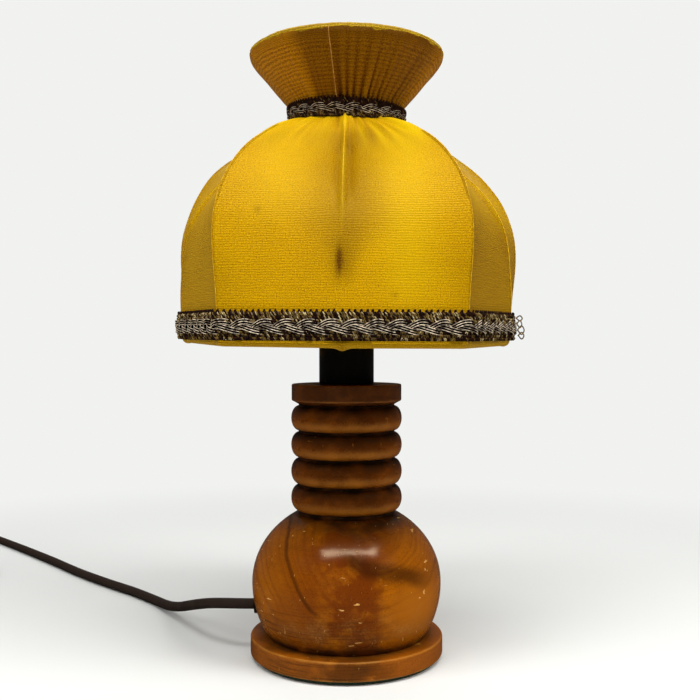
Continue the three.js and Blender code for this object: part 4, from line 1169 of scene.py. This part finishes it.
hard("white_ceramic", (232, 228, 218), (245, 243, 238), (150, 138, 116), 0.2, 0.22)
hard(
    "frosted_glass", (240, 240, 236), (250, 250, 248), (205, 200, 190), 0.1, 0.38,
    Transmission_Weight=0.55,
)
hard("wire_lacquer", (206, 198, 172), (120, 96, 70), (150, 130, 96), 0.6, 0.4, 0.3)
hard("cord_sheath", (48, 35, 27), (92, 74, 60), (32, 23, 18), 0.5, 0.6, 0.1, 0.1, Specular_IOR_Level=0.2)
hard("switch_plastic", (46, 34, 26), (92, 76, 62), (28, 21, 16), 0.35, 0.34, 0.15)
hard("rocker_plastic", (222, 212, 184), (238, 232, 212), (168, 150, 116), 0.25, 0.32)
print("hard materials:", len(looks))

# %% [markdown]
# The cloth is an old gold satin. The felt, the dark strip of the trim and its silky threads are
# simpler: soft noise over the fibre, with sheen on the shader itself.

# %% Soft materials
def satin(name, thread, shade, light, soil_and_shade, contrast, pitch=1.1, ribbing=0.42):
    shader = new_material(name, {"Specular Tint": (1, 0.66, 0.06, 1), "Diffuse Roughness": 0.9})
    woven = apply_effect(shader, cloth_group, {
        "Cut": add(shader.id_data, "UVMap", {}, uv_map="cut"), "Place": own_place(shader),
        "Thread": tone(*thread), "Shade": tone(*shade), "Light": tone(*light), "Soil": tone(*soil_and_shade),
        "Seam": stored(shader, "seam"), "Stain": stored(shader, "stain"), "Rib pitch": pitch,
        "Contrast": contrast, "Ribbing": ribbing,
    })
    dress(shader, woven, 0.16)


def fibre(name, main, dark, size, rough, sheen=0.0, deep=0.1, shine=0.3):
    shader = new_material(name, {
        "Sheen Weight": sheen, "Roughness": rough, "Sheen Roughness": 0.35, "Specular IOR Level": shine,
    })
    fleck = grain(millimetres(own_place(shader)), size)
    color = dye(step_up(fleck, 0.35, 0.65), tone(*dark), tone(*main))
    dress(shader, {"Color": color, "Height": fleck}, deep)


satin("gold_satin", (226, 176, 3), (160, 106, 2), (255, 226, 14), (98, 50, 2), 1.3, ribbing=0.1)
# The collar's satin is a darker, browner copy of the gold: painted shade, since the collar's cloth faces
# down, away from the light above.
satin("collar_satin", (214, 142, 6), (106, 54, 2), (226, 168, 20), (72, 22, 2), 1.1, 1.35)
satin("rim_satin", (222, 182, 24), (120, 80, 5), (255, 234, 90), (96, 50, 4), 1.4, 1.6)
fibre("seam_thread", (232, 188, 24), (196, 142, 8), 1.2, 0.6)
fibre("corner_thread", (234, 188, 32), (190, 138, 10), 1.2, 0.6)
fibre("plain_seam", (206, 150, 6), (166, 110, 4), 1.2, 0.6)
fibre("collar_thread", (214, 162, 84), (170, 116, 48), 1.2, 0.8, shine=0.05)
fibre("green_felt", (52, 70, 50), (34, 46, 34), 0.5, 0.95, 0.5, 0.3)
fibre("trim_dark", (16, 10, 7), (6, 4, 3), 0.7, 0.9, shine=0.02)
fibre("trim_silver", (238, 218, 188), (72, 56, 42), 1.8, 0.3, deep=0.05, shine=0.8)
fibre("trim_gold", (132, 102, 34), (56, 38, 12), 1.1, 0.5, deep=0.05, shine=0.4)
fibre("trim_pale", (216, 194, 136), (112, 86, 42), 1.1, 0.4, deep=0.05, shine=0.6)
fibre("trim_wine", (46, 22, 12), (18, 8, 5), 1.4, 0.7, shine=0.1)
print("all materials:", len(looks))

# %% [markdown]
# Each shown solid gets the material of its slot, and a new piece the one that is set for its name,
# or else that of its slot. Most slots share their name with a material.

# %% Assign the materials
slot_looks = {
    "felt": "green_felt", "varnished_wood": "turned_varnish", "glass": "frosted_glass",
    "shade_wire": "wire_lacquer", "shade_fabric": "gold_satin", "gimp_braid": "trim_dark",
}
piece_looks = {
    "foot_wood": "foot_varnish", "ball_wood": "ball_varnish", "disc_wood": "disc_varnish",
    "rim_cloth": "rim_satin", "collar_cloth": "collar_satin", "collar_seam": "collar_thread",
    "corner_seams": "corner_thread", "middle_seams": "plain_seam", "side_seam": "seam_thread",
    "front_seam": "seam_thread", "loose_threads": "trim_gold",
}
for name in ("low_gimp", "waist_gimp"):
    piece_looks[f"{name}_plait"] = "trim_silver"
    piece_looks[f"{name}_gold_threads"] = "trim_gold"
    piece_looks[f"{name}_pale_threads"] = "trim_pale"
    piece_looks[f"{name}_dark_threads"] = "trim_wine"
node_slots = {part["node"]: part["material_slot"] for part in frame["record"]["subparts"]}
lamp_pieces = [piece for piece in bpy.context.scene.objects if piece.type in ("MESH", "CURVE")]
for piece in lamp_pieces:
    slot = node_slots.get(piece.name) or piece["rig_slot"]
    look = piece_looks.get(piece.name) or slot_looks.get(slot, slot)
    piece.data.materials.clear()
    piece.data.materials.append(looks[look])
print("pieces with a look:", len(lamp_pieces))

# %% [markdown]
# The lamp stood on a white sheet of paper that runs back and up out of focus. The table is a plain
# disc that keeps the lamp's soft shadow, and towards its edge it fades into the same pale tone as
# the world behind it, which only the camera sees. From below the camera looks through the table.

# %% Table and background
paper = tone(241, 242, 240)
table_radius = 0.64
table_drop = 0.2 * MM
fade_from, fade_to = 0.28, 0.62
ground = bmesh.new()
bmesh.ops.create_circle(ground, cap_ends=True, segments=96, radius=table_radius)
bmesh.ops.translate(ground, verts=ground.verts, vec=(0, 0, -table_drop))
ground_mesh = bpy.data.meshes.new("table")
ground.to_mesh(ground_mesh)
ground.free()
table = bpy.data.objects.new("table", ground_mesh)
bpy.context.scene.collection.objects.link(table)
shader = new_material("table_paper", {"Roughness": 0.9, "Specular IOR Level": 0.15})
table.data.materials.append(looks["table_paper"])
tree = shader.id_data
ways = named(tree.nodes.new("ShaderNodeLightPath").outputs)
# In reflections the table shows dark, so that the varnish mirrors little of it.
dye(ways["Is Glossy Ray"], tone(233, 234, 230), tone(70, 68, 64)).feed(shader.inputs["Base Color"])
glow = add(tree, "Emission", {"Color": paper, "Strength": 1.0})
faded = step_up(move("LENGTH", own_place(shader)), fade_from, fade_to) * ways["Is Camera Ray"]
surface = add(tree, "MixShader", {0: faded, 1: Value(shader.outputs[0]), 2: glow})
from_below = add(tree, "NewGeometry", {}, "Backfacing") * ways["Is Camera Ray"]
open_below = add(tree, "MixShader", {0: from_below, 1: surface, 2: add(tree, "BsdfTransparent", {})})
open_below.feed(tree.nodes["Material Output"].inputs["Surface"])

world = bpy.data.worlds.new("studio")
bpy.context.scene.world = world
world.use_nodes = True
background = world.node_tree.nodes["Background"]
ways = named(world.node_tree.nodes.new("ShaderNodeLightPath").outputs)
soft = dye(ways["Is Glossy Ray"], (0.13, 0.133, 0.14, 1), (0.07, 0.07, 0.07, 1))
dye(ways["Is Camera Ray"], soft, paper).feed(background.inputs["Color"])
background.inputs["Strength"].default_value = 1.0
bpy.context.scene.view_settings.view_transform = "Standard"
print("table and world ready")

# %% [markdown]
# The main light was a wide window, high in front: the ball shows it as one bright bar. A soft light
# from the camera's side fills the front of the shade, and weak ones light its two sides and its
# back. Only the window and the back light are mirrored in the varnish.

# %% Lights
def soft_light(name, place, target, width, height, power):
    data = bpy.data.lights.new(name, "AREA")
    data.shape = "RECTANGLE"
    data.size, data.size_y, data.energy = width, height, power
    light = bpy.data.objects.new(name, data)
    light.location = place
    light.rotation_euler = (Vector(target) - Vector(place)).to_track_quat("-Z", "Y").to_euler()
    bpy.context.scene.collection.objects.link(light)
    return light


soft_light("window", (0.06, -0.5, 1.2), (0, 0, 0.12), 1.3, 0.32, 14.5)
soft_light("room", (-0.5, -1.5, 0.5), (0, 0, 0.15), 1.2, 0.9, 2.8).visible_glossy = False
for name, across, power in (("left side", -0.8, 2.8), ("right side", 0.8, 4.8)):
    soft_light(name, (across, -0.5, 0.75), (0, 0, 0.08), 0.5, 0.4, power).visible_glossy = False
soft_light("back", (0, 0.9, 1.1), (0, 0.25, 0.05), 1.2, 0.6, 4)
